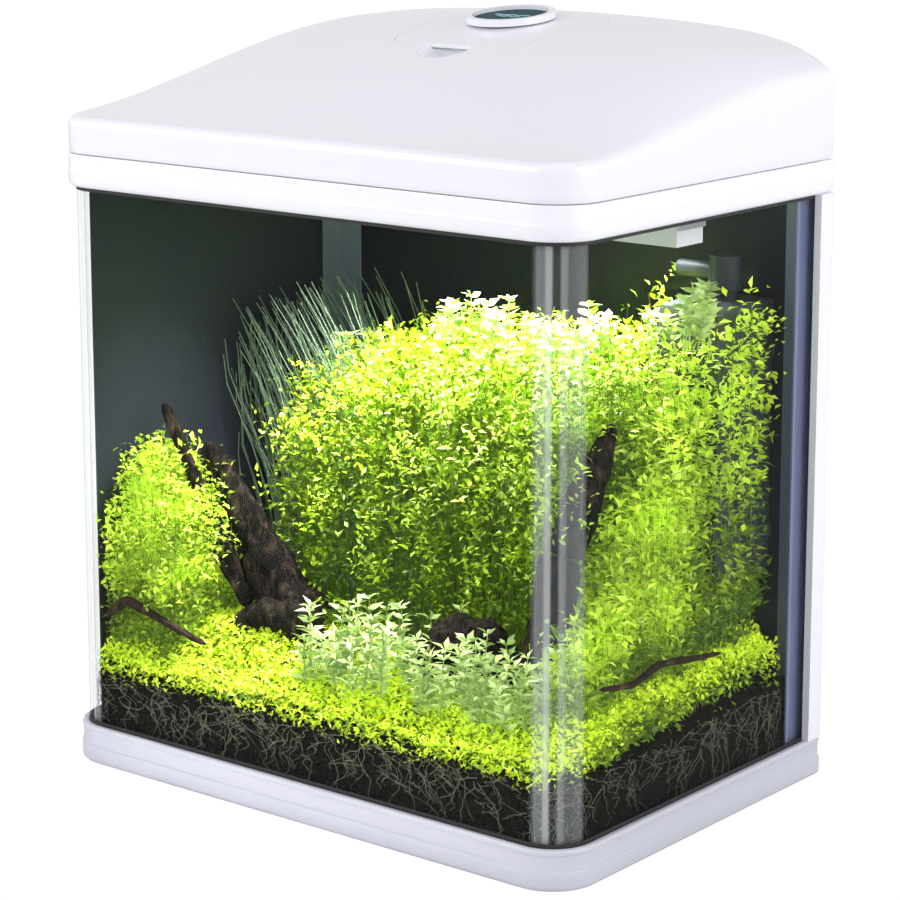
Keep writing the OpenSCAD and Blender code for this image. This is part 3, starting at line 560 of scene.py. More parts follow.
# ---------------------------------------------------------------- sizes read from the frame
@dataclass
class Plan:
    """The rounded outline that the base, the glass and the hood share.

    Args:
        half_w: Half the width over the base.
        half_d: Half the depth over the base.
        front_r: Radius of the two front corners.
        rear_r: Radius of the two rear corners.
    """

    half_w: float
    half_d: float
    front_r: float = 29 * MM
    rear_r: float = 4 * MM

    @classmethod
    def from_frame(cls) -> "Plan":
        """Read the outline's size from the base."""
        low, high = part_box("base_tray")
        return cls(half_w=(high.x - low.x) / 2, half_d=(high.y - low.y) / 2)

    def outline(self, inset: float) -> np.ndarray:
        """Return the closed outline, anticlockwise, set in from the outside by inset."""
        w, d = self.half_w - inset, self.half_d - inset
        front, rear = max(self.front_r - inset, 2 * MM), max(self.rear_r - inset, 0.6 * MM)
        bend, turn, side, wide = 18, 6, 22, 34
        parts = [arc((w - front, front - d), front, -90, 0, bend), straight((w, front - d), (w, d - rear), side),
                 arc((w - rear, d - rear), rear, 0, 90, turn), straight((w - rear, d), (rear - w, d), wide),
                 arc((rear - w, d - rear), rear, 90, 180, turn), straight((-w, d - rear), (-w, front - d), side),
                 arc((front - w, front - d), front, 180, 270, bend),
                 straight((front - w, -d), (w - front, -d), wide)]
        return np.concatenate(parts)

    def ring(self, inset: float, height: float) -> np.ndarray:
        """Return the outline as a level ring in space."""
        points = self.outline(inset)
        return np.column_stack([points, np.full(len(points), height)])

    def open_path(self, inset: float, back: float) -> np.ndarray:
        """Return the U along the left side, the front and the right side, up to y = back."""
        w, d = self.half_w - inset, self.half_d - inset
        front = self.front_r - inset
        bend, side, wide = 32, 12, 20
        return np.concatenate([[(-w, back)], straight((-w, back), (-w, front - d), side),
            arc((front - w, front - d), front, 180, 270, bend), straight((front - w, -d), (w - front, -d), wide),
            arc((w - front, front - d), front, -90, 0, bend), straight((w, front - d), (w, back), side),
            [(w, back)]])


@dataclass
class Base:
    """The low moulded tray that the glass box stands in.

    Args:
        plan: The outline that the tray follows.
    """

    plan: Plan
    bottom: float = field(init=False)
    top: float = field(init=False)

    def __post_init__(self) -> None:
        """Read the tray's heights from the frame."""
        low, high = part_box("base_tray")
        self.bottom, self.top = low.z, high.z

    def build(self, finish: bpy.types.Material) -> None:
        """Build the tray with a rounded foot, a step and a rolled rim."""
        z0, z1 = self.bottom / MM, self.top / MM
        mid = z0 + (z1 - z0) * 0.47
        profile: Profile = [(40, z0), (3.2, z0), (1.4, z0 + 0.3), (0.4, z0 + 1.2), (0, z0 + 2.8), (0, mid - 0.9),
            (0.1, mid - 0.3), (0.45, mid), (0.8, mid + 0.15), (1.0, mid + 0.6), (1.0, z1 - 3.9), (0.85, z1 - 3.2),
            (0.55, z1 - 2.9), (0.5, z1 - 2.3), (0.55, z1 - 1.1), (0.9, z1 - 0.4), (1.6, z1), (3.7, z1),
            (4.3, z1 - 0.2), (4.6, z1 - 0.8), (4.6, z1 - 3), (3.5, z1 - 3), (3.5, z0 + 3.5), (40, z0 + 3.5)]
        points, faces = loft([self.plan.ring(i * MM, z * MM) for i, z in profile], caps=True)
        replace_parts(make_piece("base_moulding", points, faces, finish), "base_tray")


@dataclass
class Glass:
    """The bent pane that is the front and both sides.

    Args:
        plan: The outline that the pane follows.
        inset: How far its outer face stands in from the outline.
        thick: Its thickness.
    """

    plan: Plan
    inset: float = 5 * MM
    thick: float = 4 * MM

    def build(self, clear: bpy.types.Material) -> None:
        """Build the bent pane with smooth corners."""
        low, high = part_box("glass_front")
        outer = self.plan.open_path(self.inset, high.y)
        inner = self.plan.open_path(self.inset + self.thick, high.y)
        loop = np.concatenate([outer, inner[::-1]])
        rings = [np.column_stack([loop, np.full(len(loop), z)]) for z in (low.z, high.z)]
        points, faces = loft(rings)
        count, half = len(loop), len(outer)
        for base, flip in ((0, True), (count, False)):
            for i in range(half - 1):
                quad = [base + i, base + i + 1, base + count - 2 - i, base + count - 1 - i]
                faces.append(quad[::-1] if flip else quad)
        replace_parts(make_piece("bent_pane", points, faces, clear), "glass_front")


@dataclass
class Dome:
    """The shape of the hood's top, as a height over the plan.

    Args:
        plan: The outline that the hood follows.
        foot: Height of the lid's lower edge.
        front: Height of the lid's wall at the front.
        rise: How far the side walls rise towards the back.
        crown: How far the middle stands above the side walls.
        skin: Thickness of the lid's skin.
        inset: How far the lid stands in from the outline.
        rear_lift: How much higher the lid's lower edge is along the back.
        rise_start: Where the side walls start to rise, in half depths in front of the middle.
        rise_length: How long that rise is, in half depths.
        crown_power: How early the crown is reached on the way back.
        flat_share: How much of the crown is a flat top, where the rest is round.
        flat_power: How sharply the flat top ends at the sides.
    """

    plan: Plan
    foot: float
    front: float = 20.5 * MM
    rise: float = 28.5 * MM
    crown: float = 27 * MM
    skin: float = 2.2 * MM
    inset: float = 1 * MM
    rear_lift: float = 1.6 * MM
    rise_start: float = 0.98
    rise_length: float = 1.75
    crown_power: float = 2.6
    flat_share: float = 0.62
    flat_power: int = 8

    def top(self, x: np.ndarray, y: np.ndarray) -> np.ndarray:
        """Return the outer height over each point of the plan."""
        wide, deep = self.plan.half_w - self.inset, self.plan.half_d - self.inset
        t = np.clip((y / deep + self.rise_start) / self.rise_length, 0, 1)
        edge = self.foot + self.front + self.rise * t * t * (3 - 2 * t)
        back = np.clip((y / deep + 1) / 2, 0, 1)
        middle = self.crown * (1 - (1 - back) ** self.crown_power)
        u = np.clip(np.abs(x) / wide, 0, 1)
        flat, bowed = 1 - u ** self.flat_power, 1 - u * u
        return edge + middle * (self.flat_share * flat + (1 - self.flat_share) * bowed)

    def surface_ring(self, inset: float, share: float, drop: float) -> np.ndarray:
        """Return a ring that lies on the dome, lowered by drop."""
        points = self.plan.outline(inset) * share
        return np.column_stack([points, self.top(points[:, 0], points[:, 1]) - drop])

    def foot_ring(self, inset: float) -> np.ndarray:
        """Return the lid's lower edge, a little higher along the back."""
        points = self.plan.outline(inset)
        lift = np.where(points[:, 1] > self.plan.half_d - 12 * MM, self.rear_lift, 0.0)
        return np.column_stack([points, self.foot + lift])

    def shell(self, round_r: float = 4.5 * MM, steps: int = 6) -> tuple[np.ndarray, list, int]:
        """Return the skin's points, its faces and how many of its rings lie outside."""
        bevel, bevel_up = 0.35 * MM, 0.4 * MM
        rings = [self.foot_ring(self.inset + bevel)]
        low = self.foot_ring(self.inset)
        low[:, 2] += bevel_up
        rings.append(low)
        wall = self.surface_ring(self.inset, 1, round_r)
        for share in (0.35, 0.7):
            rings.append(low * (1 - share) + wall * share)
        for k in range(steps + 1):
            a = math.pi / 2 * k / steps
            step_in, step_down = round_r * (1 - math.cos(a)), round_r * (1 - math.sin(a))
            rings.append(self.surface_ring(self.inset + step_in, 1, step_down))
        edge = self.inset + round_r
        rings += [self.surface_ring(edge, share, 0.0) for share in np.linspace(0.985, 0.02, 46)]
        shares = np.linspace(0.02, 0.97, 30)
        inner = [self.surface_ring(self.inset + self.skin, share, self.skin) for share in shares]
        inside_wall = self.surface_ring(self.inset + self.skin, 1, self.skin + round_r * 0.6)
        inside_foot = self.foot_ring(self.inset + self.skin)
        points, faces = loft(rings + inner + [inside_wall, inside_foot])
        return points, faces, len(rings)


@dataclass
class Hood:
    """The frame that caps the glass, the domed lid and the feeding flap.

    Args:
        plan: The outline that the hood follows.
        seam_gap: The gap between the frame and the lid.
        rear_wall: How deep the frame's low part along the back is.
        knuckle_inset: How far a frame knuckle's middle stands in from the end of its pin.
        knuckle_w: A frame knuckle's width.
        flap_gap: The gap round the flap at its front and sides.
        flap_rear_gap: The wider gap behind it, where it dips.
        flap_corner: Radius of the flap's corners.
        hole_corner: Radius of its opening's corners.
        floor_gap: How far over the lid's foot its openings are cut.
        notch_past: How far a hinge notch goes past its strap on the outside.
        notch_reach: How far it goes inwards from the strap's outer side.
        notch_above: How far it goes over the pins.
    """

    plan: Plan
    dome: Dome = field(init=False)
    low: float = field(init=False)
    seam: float = field(init=False)
    seam_gap: float = 0.5 * MM
    rear_wall: float = 9.5 * MM
    knuckle_inset: float = 19.4 * MM
    knuckle_w: float = 16 * MM
    flap_gap: float = 0.45 * MM
    flap_rear_gap: float = 1.1 * MM
    flap_corner: float = 10 * MM
    hole_corner: float = 10.4 * MM
    floor_gap: float = 4 * MM
    notch_past: float = 1.5 * MM
    notch_reach: float = 40.3 * MM
    notch_above: float = 4.6 * MM
    TALL: ClassVar[float] = 150 * MM

    def __post_init__(self) -> None:
        """Read the hood's heights from the frame."""
        self.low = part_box("hood_frame")[0].z
        self.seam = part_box("lid")[0].z - self.seam_gap
        self.dome = Dome(self.plan, foot=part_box("lid")[0].z)

    def hinge_line(self) -> tuple[float, float]:
        """Return the y and z of the lid's hinge pins."""
        low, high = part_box("lid_hinge_pins")
        return (low.y + high.y) / 2, (low.z + high.z) / 2

    def build_frame(self, finish: bpy.types.Material) -> None:
        """Build the cap: an undercut lip, a wall, the deck inside and the upstand behind the seam."""
        z0, z1 = self.low / MM, self.seam / MM
        deck, step = z0 + 12.5, z0 + 9.3
        profile: Profile = [(4.6, z0 + 0.3), (4.2, z0), (3.0, z0), (1.9, z0 + 0.5), (1.0, z0 + 1.6), (0.4, z0 + 3.4),
            (0.08, z0 + 5.6), (0, z0 + 7.5), (0, step - 0.7), (0.1, step - 0.25), (0.35, step), (0.5, step + 0.5),
            (0.5, z1 - 0.9), (0.65, z1 - 0.35), (1.05, z1), (3.3, z1), (3.8, z1 + 0.2), (3.8, z1 + 3.6),
            (4.1, z1 + 4), (5.1, z1 + 4), (5.4, z1 + 3.6), (5.4, deck + 2.8), (5.8, deck + 2.5), (20.6, deck + 2.5),
            (21, deck + 2.1), (21, deck), (3.0, deck), (3.0, z0 + 3), (4.6, z0 + 3)]
        rings = [self.plan.ring(i * MM, z * MM) for i, z in profile]
        for ring in rings:
            rear = ring[:, 1] > self.plan.half_d - self.rear_wall
            ring[rear, 2] = np.minimum(ring[rear, 2], self.seam)
        points, faces = loft(rings, closed=True)
        cap = make_piece("hood_cap", points, faces, finish)
        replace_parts(cap, "hood_frame")
        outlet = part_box("cable_grommet")
        centre = (outlet[0] + outlet[1]) / 2
        hole_r, past = 3.5 * MM, 5 * MM
        circle = arc((centre.x, -centre.z), hole_r, 0, 337.5, 15)
        tool = prism(circle, outlet[0].y - past, outlet[1].y + past)
        for vertex in tool.data.vertices:
            x, y, z = vertex.co
            vertex.co = (x, z, -y)
        cut(cap, tool)

    def build_knuckles(self, finish: bpy.types.Material) -> None:
        """Build the two knuckles that carry the lid's pins on the frame."""
        y, z = self.hinge_line()
        outer, bore, rear = 4 * MM, 1.56 * MM, 1.6 * MM
        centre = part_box("lid_hinge_pins")[1].x - self.knuckle_inset
        floor = self.low + 15 * MM
        for name, side in (("frame_knuckle_left", -1), ("frame_knuckle_right", 1)):
            loop = np.concatenate([[(y - outer, floor)], [(y - outer, z)], arc((y, z), outer, 175, 20, 22),
                                   [(y + rear, z - MM)], [(y + rear, floor)]])[::-1]
            start = side * centre - self.knuckle_w / 2
            points, faces = loft(crosswise(loop, start, self.knuckle_w), caps=True)
            block = make_piece(name, points, faces, finish)
            cut(block, cutter(crosswise(arc((y, z), bore, 0, 352.5, 47), start - MM, self.knuckle_w + 2 * MM)))

    def _skin(self, name: str, finish: bpy.types.Material, body: str) -> bpy.types.Object:
        """Build the whole domed skin as one closed mesh."""
        points, faces, outer = self.dome.shell()
        count = len(self.plan.outline(0))
        total = len(points) // count
        faces = [f for k, f in enumerate(faces) if k // count != outer - 1]
        top = np.array([[0, 0, float(self.dome.top(np.zeros(1), np.zeros(1))[0])]])
        points = np.concatenate([points, top, top - (0, 0, self.dome.skin)])
        rim, under = (outer - 1) * count, outer * count
        last = (total - 1) * count
        for i in range(count):
            j = (i + 1) % count
            faces.append([rim + i, rim + j, total * count])
            faces.append([under + j, under + i, total * count + 1])
            faces.append([last + i, last + j, j, i])
        piece = make_piece(name, points, faces, finish, body, smooth_angle=50.0)
        work = bmesh.new()
        work.from_mesh(piece.data)
        bmesh.ops.recalc_face_normals(work, faces=work.faces)
        work.to_mesh(piece.data)
        work.free()
        return piece

    def build_lid(self, finish: bpy.types.Material) -> None:
        """Build the lid with its flap opening, finger recess and hinge notches."""
        lid = self._skin("lid_dome", finish, "lid")
        low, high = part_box("feed_flap")
        gap, floor, tall = self.flap_gap, self.dome.foot + self.floor_gap, self.dome.foot + self.TALL
        hole = rectangle(low.x - gap, high.x + gap, low.y - gap, high.y + self.flap_rear_gap, self.hole_corner)
        cut(lid, prism(hole, floor, tall))
        cup_low, cup_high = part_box("finger_cup")
        radius, lap = (cup_high.x - cup_low.x) / 2, 0.2 * MM
        cut(lid, prism(arc((0, cup_low.y + radius), radius - lap, 0, 354, 59), floor, tall))
        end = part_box("lid_hinge_straps")[1].x
        back = self.plan.half_d
        for side in (-1, 1):
            x0, x1 = sorted((side * (end + self.notch_past), side * (end - self.notch_reach)))
            notch = rectangle(x0, x1, back - 12 * MM, back + MM)
            cut(lid, prism(notch, self.dome.foot - MM, self.hinge_line()[1] + self.notch_above))
        self._finish_shell(lid)
        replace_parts(lid, "lid")

    def build_flap(self, finish: bpy.types.Material) -> None:
        """Build the feeding flap as the part of the dome that tips.

        Args:
            finish: Its material.
        """
        flap = self._skin("flap_skin", finish, "flap")
        low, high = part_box("feed_flap")
        door = rectangle(low.x, high.x, low.y, high.y, self.flap_corner)
        cut(flap, prism(door, self.dome.foot + self.floor_gap, self.dome.foot + self.TALL), "INTERSECT")
        self._finish_shell(flap)
        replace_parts(flap, "feed_flap")

    @staticmethod
    def _finish_shell(piece: bpy.types.Object) -> None:
        """Shade a cut shell smooth, with its cut edges hard."""
        piece.data.shade_smooth()
        piece.data.set_sharp_from_angle(angle=math.radians(50))


# ---------------------------------------------------------------- bend sheen, badge relief
@dataclass(frozen=True)
class BendSheen:
    """The upright bands of light and shade that thick bent glass shows round its bend.

    Args:
        name: The material's name.
        bands: Angle round the bend as a share of the quarter turn, and the band's strength there.
    """

    name: str
    bands: Profile

    def build(self) -> bpy.types.Material:
        """Build the material; the mesh gives the angle in its attribute "turn"."""
        material, g, out = new_material(self.name)
        turn = g.add("ShaderNodeAttribute", {"attribute_name": "turn"}).outputs["Fac"]
        ramp = g.add("ShaderNodeValToRGB", Fac=turn)
        ramp.color_ramp.interpolation = "EASE"
        stops = ramp.color_ramp.elements
        while len(stops) < len(self.bands):
            stops.new(0.5)
        for stop, (place, value) in zip(stops, sorted(self.bands)):
            stop.position, stop.color = place, (value, value, value, 1.0)
        shader = g.add("ShaderNodeBsdfPrincipled", Base_Color=(0.86, 0.89, 0.93), Roughness=0.4,
                       Alpha=ramp.outputs[0])
        g.tree.links.new(shader.outputs[0], out.inputs[0])
        return material


def give_value(piece: bpy.types.Object, name: str, values: np.ndarray) -> None:
    """Store one number for each point of a piece's mesh."""
    piece.data.attributes.new(name, "FLOAT", "POINT").data.foreach_set("value", np.asarray(values, np.float32))


def tubes(paths: np.ndarray, radii: np.ndarray, sides: int = 4) -> tuple[np.ndarray, np.ndarray]:
    """Make round tubes along many paths of equally many points.

    Args:
        paths: An array of tubes, by points, by three.
        radii: An array of tubes by points.
        sides: How many sides each tube has.

    Returns:
        The points and the four-sided faces.
    """
    count, steps, _ = paths.shape
    run = np.gradient(paths, axis=1)
    run /= np.linalg.norm(run, axis=2, keepdims=True) + 1e-12
    guide = np.where(np.abs(run[..., 2:3]) > 0.9, np.array([0.0, 1.0, 0.0]), np.array([0.0, 0.0, 1.0]))
    side = np.cross(run, guide)
    side /= np.linalg.norm(side, axis=2, keepdims=True) + 1e-12
    other = np.cross(run, side)
    angle = np.arange(sides) * 2 * math.pi / sides
    ring = side[:, :, None] * np.cos(angle)[:, None] + other[:, :, None] * np.sin(angle)[:, None]
    points = (paths[:, :, None] + ring * radii[:, :, None, None]).reshape(-1, 3)
    t, k, i = np.meshgrid(np.arange(count), np.arange(steps - 1), np.arange(sides), indexing="ij")
    a = (t * steps + k) * sides
    j = (i + 1) % sides
    faces = np.stack([a + i, a + sides + i, a + sides + j, a + j], -1).reshape(-1, 4)
    return points, faces


# ---------------------------------------------------------------- foliage
def clumps(points: np.ndarray, size: float) -> np.ndarray:
    """Return a smooth value between -1 and 1 that makes lumps of about one size.

    Args:
        points: Where to find it.
        size: The size of the lumps.

    Returns:
        One value for each point.
    """
    x, y, z = (points[..., i] / size for i in range(3))
    return (np.sin(x + 1.3 * np.sin(z * 0.9)) + np.sin(y * 1.1 + 1.7 + 1.1 * np.sin(x * 0.8))
            + np.sin(z * 1.2 + 0.6 + 1.2 * np.sin(y * 0.7))) / 3


class LeafCloud:
    """Collects leaves and stems, and turns them into one mesh."""

    BLADE = np.array([(0, 0, 0), (0.42, -0.5, 0.10), (0.42, 0.5, 0.10), (0.5, 0, 0), (1, 0, -0.12)])
    BLADE_FACES = np.array([(0, 1, 3), (0, 3, 2), (1, 4, 3), (3, 4, 2)])

    def __init__(self, rng: np.random.Generator) -> None:
        """Keep the random generator that shapes the leaves."""
        self.rng = rng
        self.points: list[np.ndarray] = []
        self.faces: list[np.ndarray] = []
        self.tones: list[np.ndarray] = []
        self.total = 0

    def _keep(self, points: np.ndarray, faces: np.ndarray, tones: np.ndarray) -> None:
        """Add a block of points and faces.

        Args:
            points: The new points.
            faces: Three or four point numbers for each face.
            tones: A tone for each point.
        """
        if faces.shape[1] == 4:
            faces = np.concatenate([faces[:, [0, 1, 2]], faces[:, [0, 2, 3]]])
        self.points.append(points)
        self.faces.append(faces + self.total)
        self.tones.append(tones)
        self.total += len(points)

    def leaves(self, at: np.ndarray, along: np.ndarray, length: np.ndarray, width: float, tone: np.ndarray) -> None:
        """Add one leaf at each place.

        Args:
            at: Where the leaves start.
            along: Which way they point.
            length: Their lengths.
            width: Their width as a share of the length.
            tone: Their tone, from dark to light.
        """
        along = along / (np.linalg.norm(along, axis=1, keepdims=True) + 1e-12)
        tilt = self.rng.normal(0, 0.45, at.shape) + (0, 0, 1)
        side = np.cross(tilt, along)
        side /= np.linalg.norm(side, axis=1, keepdims=True) + 1e-12
        up = np.cross(along, side)
        u, v, w = self.BLADE.T
        size = length[:, None, None]
        points = (at[:, None] + along[:, None] * u[:, None] * size + side[:, None] * v[:, None] * size * width
                  + up[:, None] * w[:, None] * size).reshape(-1, 3)
        faces = (self.BLADE_FACES[None] + (np.arange(len(at)) * len(u))[:, None, None]).reshape(-1, 3)
        # Each leaf is painted darker at its base and lighter at its tip: painted shade near the stem, painted light
        # at the tip.
        self._keep(points, faces, np.clip(tone[:, None] + np.array([-0.15, 0, 0, 0.02, 0.12]), 0, 1).reshape(-1))

    def stems(self, paths: np.ndarray, radius: float, tone: float) -> None:
        """Add thin three-sided stems that taper to half their radius."""
        taper = np.linspace(1, 0.5, paths.shape[1])[None] * np.full((len(paths), 1), radius)
        points, faces = tubes(paths, taper, 3)
        self._keep(points, faces, np.full(len(points), tone))

    def build(self, name: str, finish: bpy.types.Material, slot: str,
              keep: Callable | None = None) -> bpy.types.Object:
        """Build the piece, and drop every leaf that leaves the room it may take.

        Args:
            name: The piece's name.
            finish: Its material.
            slot: Its slot in the record; not used.
            keep: Tells which points stand where leaves may be.

        Returns:
            The new piece.
        """
        points, faces, tones = np.concatenate(self.points), np.concatenate(self.faces), np.concatenate(self.tones)
        if keep is not None:
            faces = faces[keep(points)[faces].all(axis=1)]
            used, inverse = np.unique(faces, return_inverse=True)
            points, tones, faces = points[used], tones[used], inverse.reshape(-1, 3)
        mesh = bpy.data.meshes.new(name)
        mesh.vertices.add(len(points))
        mesh.vertices.foreach_set("co", points.astype(np.float32).ravel())
        mesh.loops.add(len(faces) * 3)
        mesh.loops.foreach_set("vertex_index", faces.astype(np.int32).ravel())
        mesh.polygons.add(len(faces))
        mesh.polygons.foreach_set("loop_start", np.arange(len(faces), dtype=np.int32) * 3)
        mesh.update(calc_edges=True)
        mesh.materials.append(finish)
        piece = bpy.data.objects.new(name, mesh)
        bpy.context.scene.collection.objects.link(piece)
        give_value(piece, "tone", tones)
        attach(piece, "tank")
        LOG.info("%s: %d faces", name, len(faces))
        return piece


@dataclass
class Tank:
    """The room inside the glass, and what stands in it that plants keep clear of.

    Args:
        plan: The outline that the glass follows.
        inset: How far plants stay in from the outline.
        soil_front: The soil's height at the front.
        soil_back: The soil's height at the back.
    """

    plan: Plan
    inset: float = 10.2 * MM
    soil_front: float = 56 * MM
    soil_back: float = 62 * MM

    def soil(self, y: np.ndarray) -> np.ndarray:
        """Return the height of the soil."""
        reach = self.plan.half_d - 9 * MM
        t = np.clip((y + reach) / (2 * reach), 0, 1)
        return self.soil_front + (self.soil_back - self.soil_front) * t * t * (3 - 2 * t)

    def free(self, points: np.ndarray) -> np.ndarray:
        """Tell which points lie inside the glass and clear of the filter and the corner trims.

        Args:
            points: The points to test.

        Returns:
            True for each point where a leaf may be.
        """
        x, y, z = points.T
        w, d = self.plan.half_w - self.inset, self.plan.half_d - self.inset
        r = self.plan.front_r - self.inset
        inside = (np.abs(x) < w) & (np.abs(y) < d)
        corner = (np.abs(x) > w - r) & (y < r - d)
        inside &= ~corner | (np.hypot(np.abs(x) - (w - r), y - (r - d)) < r)
        low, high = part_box("filter_case")
        pad = 2.5 * MM
        case = (x > low.x - pad) & (x < high.x + pad) & (y > low.y - pad) & (z > low.z - pad)
        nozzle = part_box("outlet_nozzle")
        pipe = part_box("riser_pipe")
        pipe_x, pipe_y = (pipe[0].x + pipe[1].x) / 2, (pipe[0].y + pipe[1].y) / 2
        reach = pipe_x - nozzle[0].x + 4 * MM
        sweep = (np.hypot(x - pipe_x, y - pipe_y) < reach) & (z > high.z + MM)
        trims = (np.abs(x) > w - 20 * MM) & (y > d - 20 * MM)
        return inside & ~case & ~sweep & ~trims & (z > self.soil(y) - 6 * MM)


@dataclass
class Planting:
    """The soil, the wood and every plant.

    Args:
        tank: The room they grow in.
        seed: Starts the random order of each plant group.
    """

    tank: Tank
    seed: int = 4107

    def rng(self, step: int) -> np.random.Generator:
        """Return the random generator of one plant group."""
        return np.random.default_rng(self.seed + step)

    @staticmethod
    def ridge(x: np.ndarray) -> np.ndarray:
        """Return the height of the hedge's top along X.

        Args:
            x: Places along X.

        Returns:
            The heights.
        """
        places = np.array([-178, -150, -137, -110, -85, -54, 8, 68, 112, 150, 178]) * MM
        heights = np.array([150, 186, 212, 228, 243, 255, 266, 265, 267, 284, 290]) * MM
        return np.interp(x, places, heights)

    def hill(self, x: np.ndarray, y: np.ndarray) -> np.ndarray:
        """Return the height of the hedge over the plan.

        Args:
            x: Places along X.
            y: Places along Y.

        Returns:
            The heights.
        """
        front = np.interp(x, np.array([-140, -60, 60, 120]) * MM, np.array([0, -26, -36, -40]) * MM)
        t = np.clip((38 * MM - y) / (38 * MM - front), 0, 1)
        low = 102 * MM
        return low + (self.ridge(x) - low) * np.sqrt(np.clip(1 - t ** 2.1, 0, 1))

    def side_mound(self, x: np.ndarray, y: np.ndarray) -> np.ndarray:
        """Return the height of the bushes along the right pane, a low terrace with a bank behind it.

        Args:
            x: Places along X.
            y: Places along Y.

        Returns:
            The heights.
        """
        places = np.array([-100, -78, -50, -20, 14, 34, 62, 118]) * MM
        heights = np.array([84, 98, 124, 152, 178, 226, 276, 304]) * MM
        return np.interp(y, places, heights) - 0.1 * (178 * MM - x)

    @staticmethod
    def left_mound(x: np.ndarray, y: np.ndarray) -> np.ndarray:
        """Return the height of the low bush at the left, which falls away towards the trunk.

        Args:
            x: Places along X.
            y: Places along Y.

        Returns:
            The heights.
        """
        back = np.clip((y + 128 * MM) / (58 * MM), 0, 1)
        away = np.clip((x + 179 * MM) / (61 * MM), 0, 1)
        return 88 * MM + (98 - 74 * away ** 1.6) * MM * back

    def build_soil(self, finish: bpy.types.Material, root: bpy.types.Material) -> None:
        """Build the soil with lumps along the glass, and the roots that run down behind the glass.

        Args:
            finish: The soil's material.
            root: The roots' material.
        """
        rng, plan, tank = self.rng(1), self.tank.plan, self.tank
        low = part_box("soil_bed")[0].z
        rings = [plan.ring(12.8 * MM, low), plan.ring(12.8 * MM, low + 3 * MM)]
        for share in np.linspace(0, 1, 9):
            points = plan.outline(12.4 * MM)
            top = tank.soil(points[:, 1]) - 1.5 * MM
            rings.append(np.column_stack([points, (low + 3.6 * MM) * (1 - share) + top * share]))
        for share in np.linspace(0.96, 0.03, 18):
            points = plan.outline(12.4 * MM) * share
            rings.append(np.column_stack([points, tank.soil(points[:, 1]) + rng.normal(0, 0.7 * MM, len(points))]))
        points, faces = loft(rings, caps=True)
        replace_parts(make_piece("soil_mass", points, faces, finish, smooth_angle=80), "soil_bed")
        self._lumps(finish, rng, low)
        path = plan.open_path(9.9 * MM, plan.half_d - 32 * MM)
        steps = np.linalg.norm(np.diff(path, axis=0), axis=1)
        where = np.concatenate([[0], np.cumsum(steps)])
        number, knots = 430, 9
        start = rng.uniform(0, where[-1], number)
        wander = np.cumsum(rng.normal(0, 2.9 * MM, (number, knots)), axis=1)
        drift = wander + rng.normal(0, 9 * MM, (number, 1)) * np.linspace(0, 1, knots)
        along = np.clip(start[:, None] + drift, 0, where[-1])
        xs, ys = np.interp(along, where, path[:, 0]), np.interp(along, where, path[:, 1])
        deep = np.minimum(rng.gamma(2.0, 8 * MM, (number, 1)), 38 * MM)
        top = tank.soil(ys) + 1 * MM - rng.uniform(0, 1, (number, 1)) ** 2 * 18 * MM
        zs = np.maximum(top - deep * np.linspace(0, 1, knots), low + 4 * MM)
        cloud = LeafCloud(rng)
        cloud.stems(np.stack([xs, ys, zs], -1), 0.25 * MM, 0.5)
        cloud.build("roots", root, "soil")

    def _lumps(self, finish: bpy.types.Material, rng: np.random.Generator, low: float) -> None:
        """Scatter loose grains over the soil's outer face and its top.

        Args:
            finish: Their material.
            rng: The random generator to draw from.
            low: The soil's underside.
        """
        octa = np.array([(1, 0, 0), (-1, 0, 0), (0, 1, 0), (0, -1, 0), (0, 0, 1), (0, 0, -1)], float)
        sides = np.array([(0, 2, 4), (2, 1, 4), (1, 3, 4), (3, 0, 4), (2, 0, 5), (1, 2, 5), (3, 1, 5), (0, 3, 5)])
        path = self.tank.plan.open_path(12.4 * MM, self.tank.plan.half_d - 12 * MM)
        where = np.concatenate([[0], np.cumsum(np.linalg.norm(np.diff(path, axis=0), axis=1))])
        number = 6400
        at = rng.uniform(0, where[-1], number)
        x, y = np.interp(at, where, path[:, 0]), np.interp(at, where, path[:, 1])
        z = rng.uniform(low + 5 * MM, self.tank.soil(y) + 1.5 * MM)
        size = rng.uniform(1.1, 1.9, (number, 1, 1)) * MM * rng.uniform(0.7, 1.0, (number, 6, 1))
        points = (np.column_stack([x, y, z])[:, None] + octa * size).reshape(-1, 3)
        faces = (sides[None] + (np.arange(number) * 6)[:, None, None]).reshape(-1, 3)
        limit = self.tank.plan.half_d - 9.6 * MM
        points[:, 1] = np.clip(points[:, 1], -limit, limit)
        make_piece("soil_grains", points, faces, finish, smooth_angle=20)

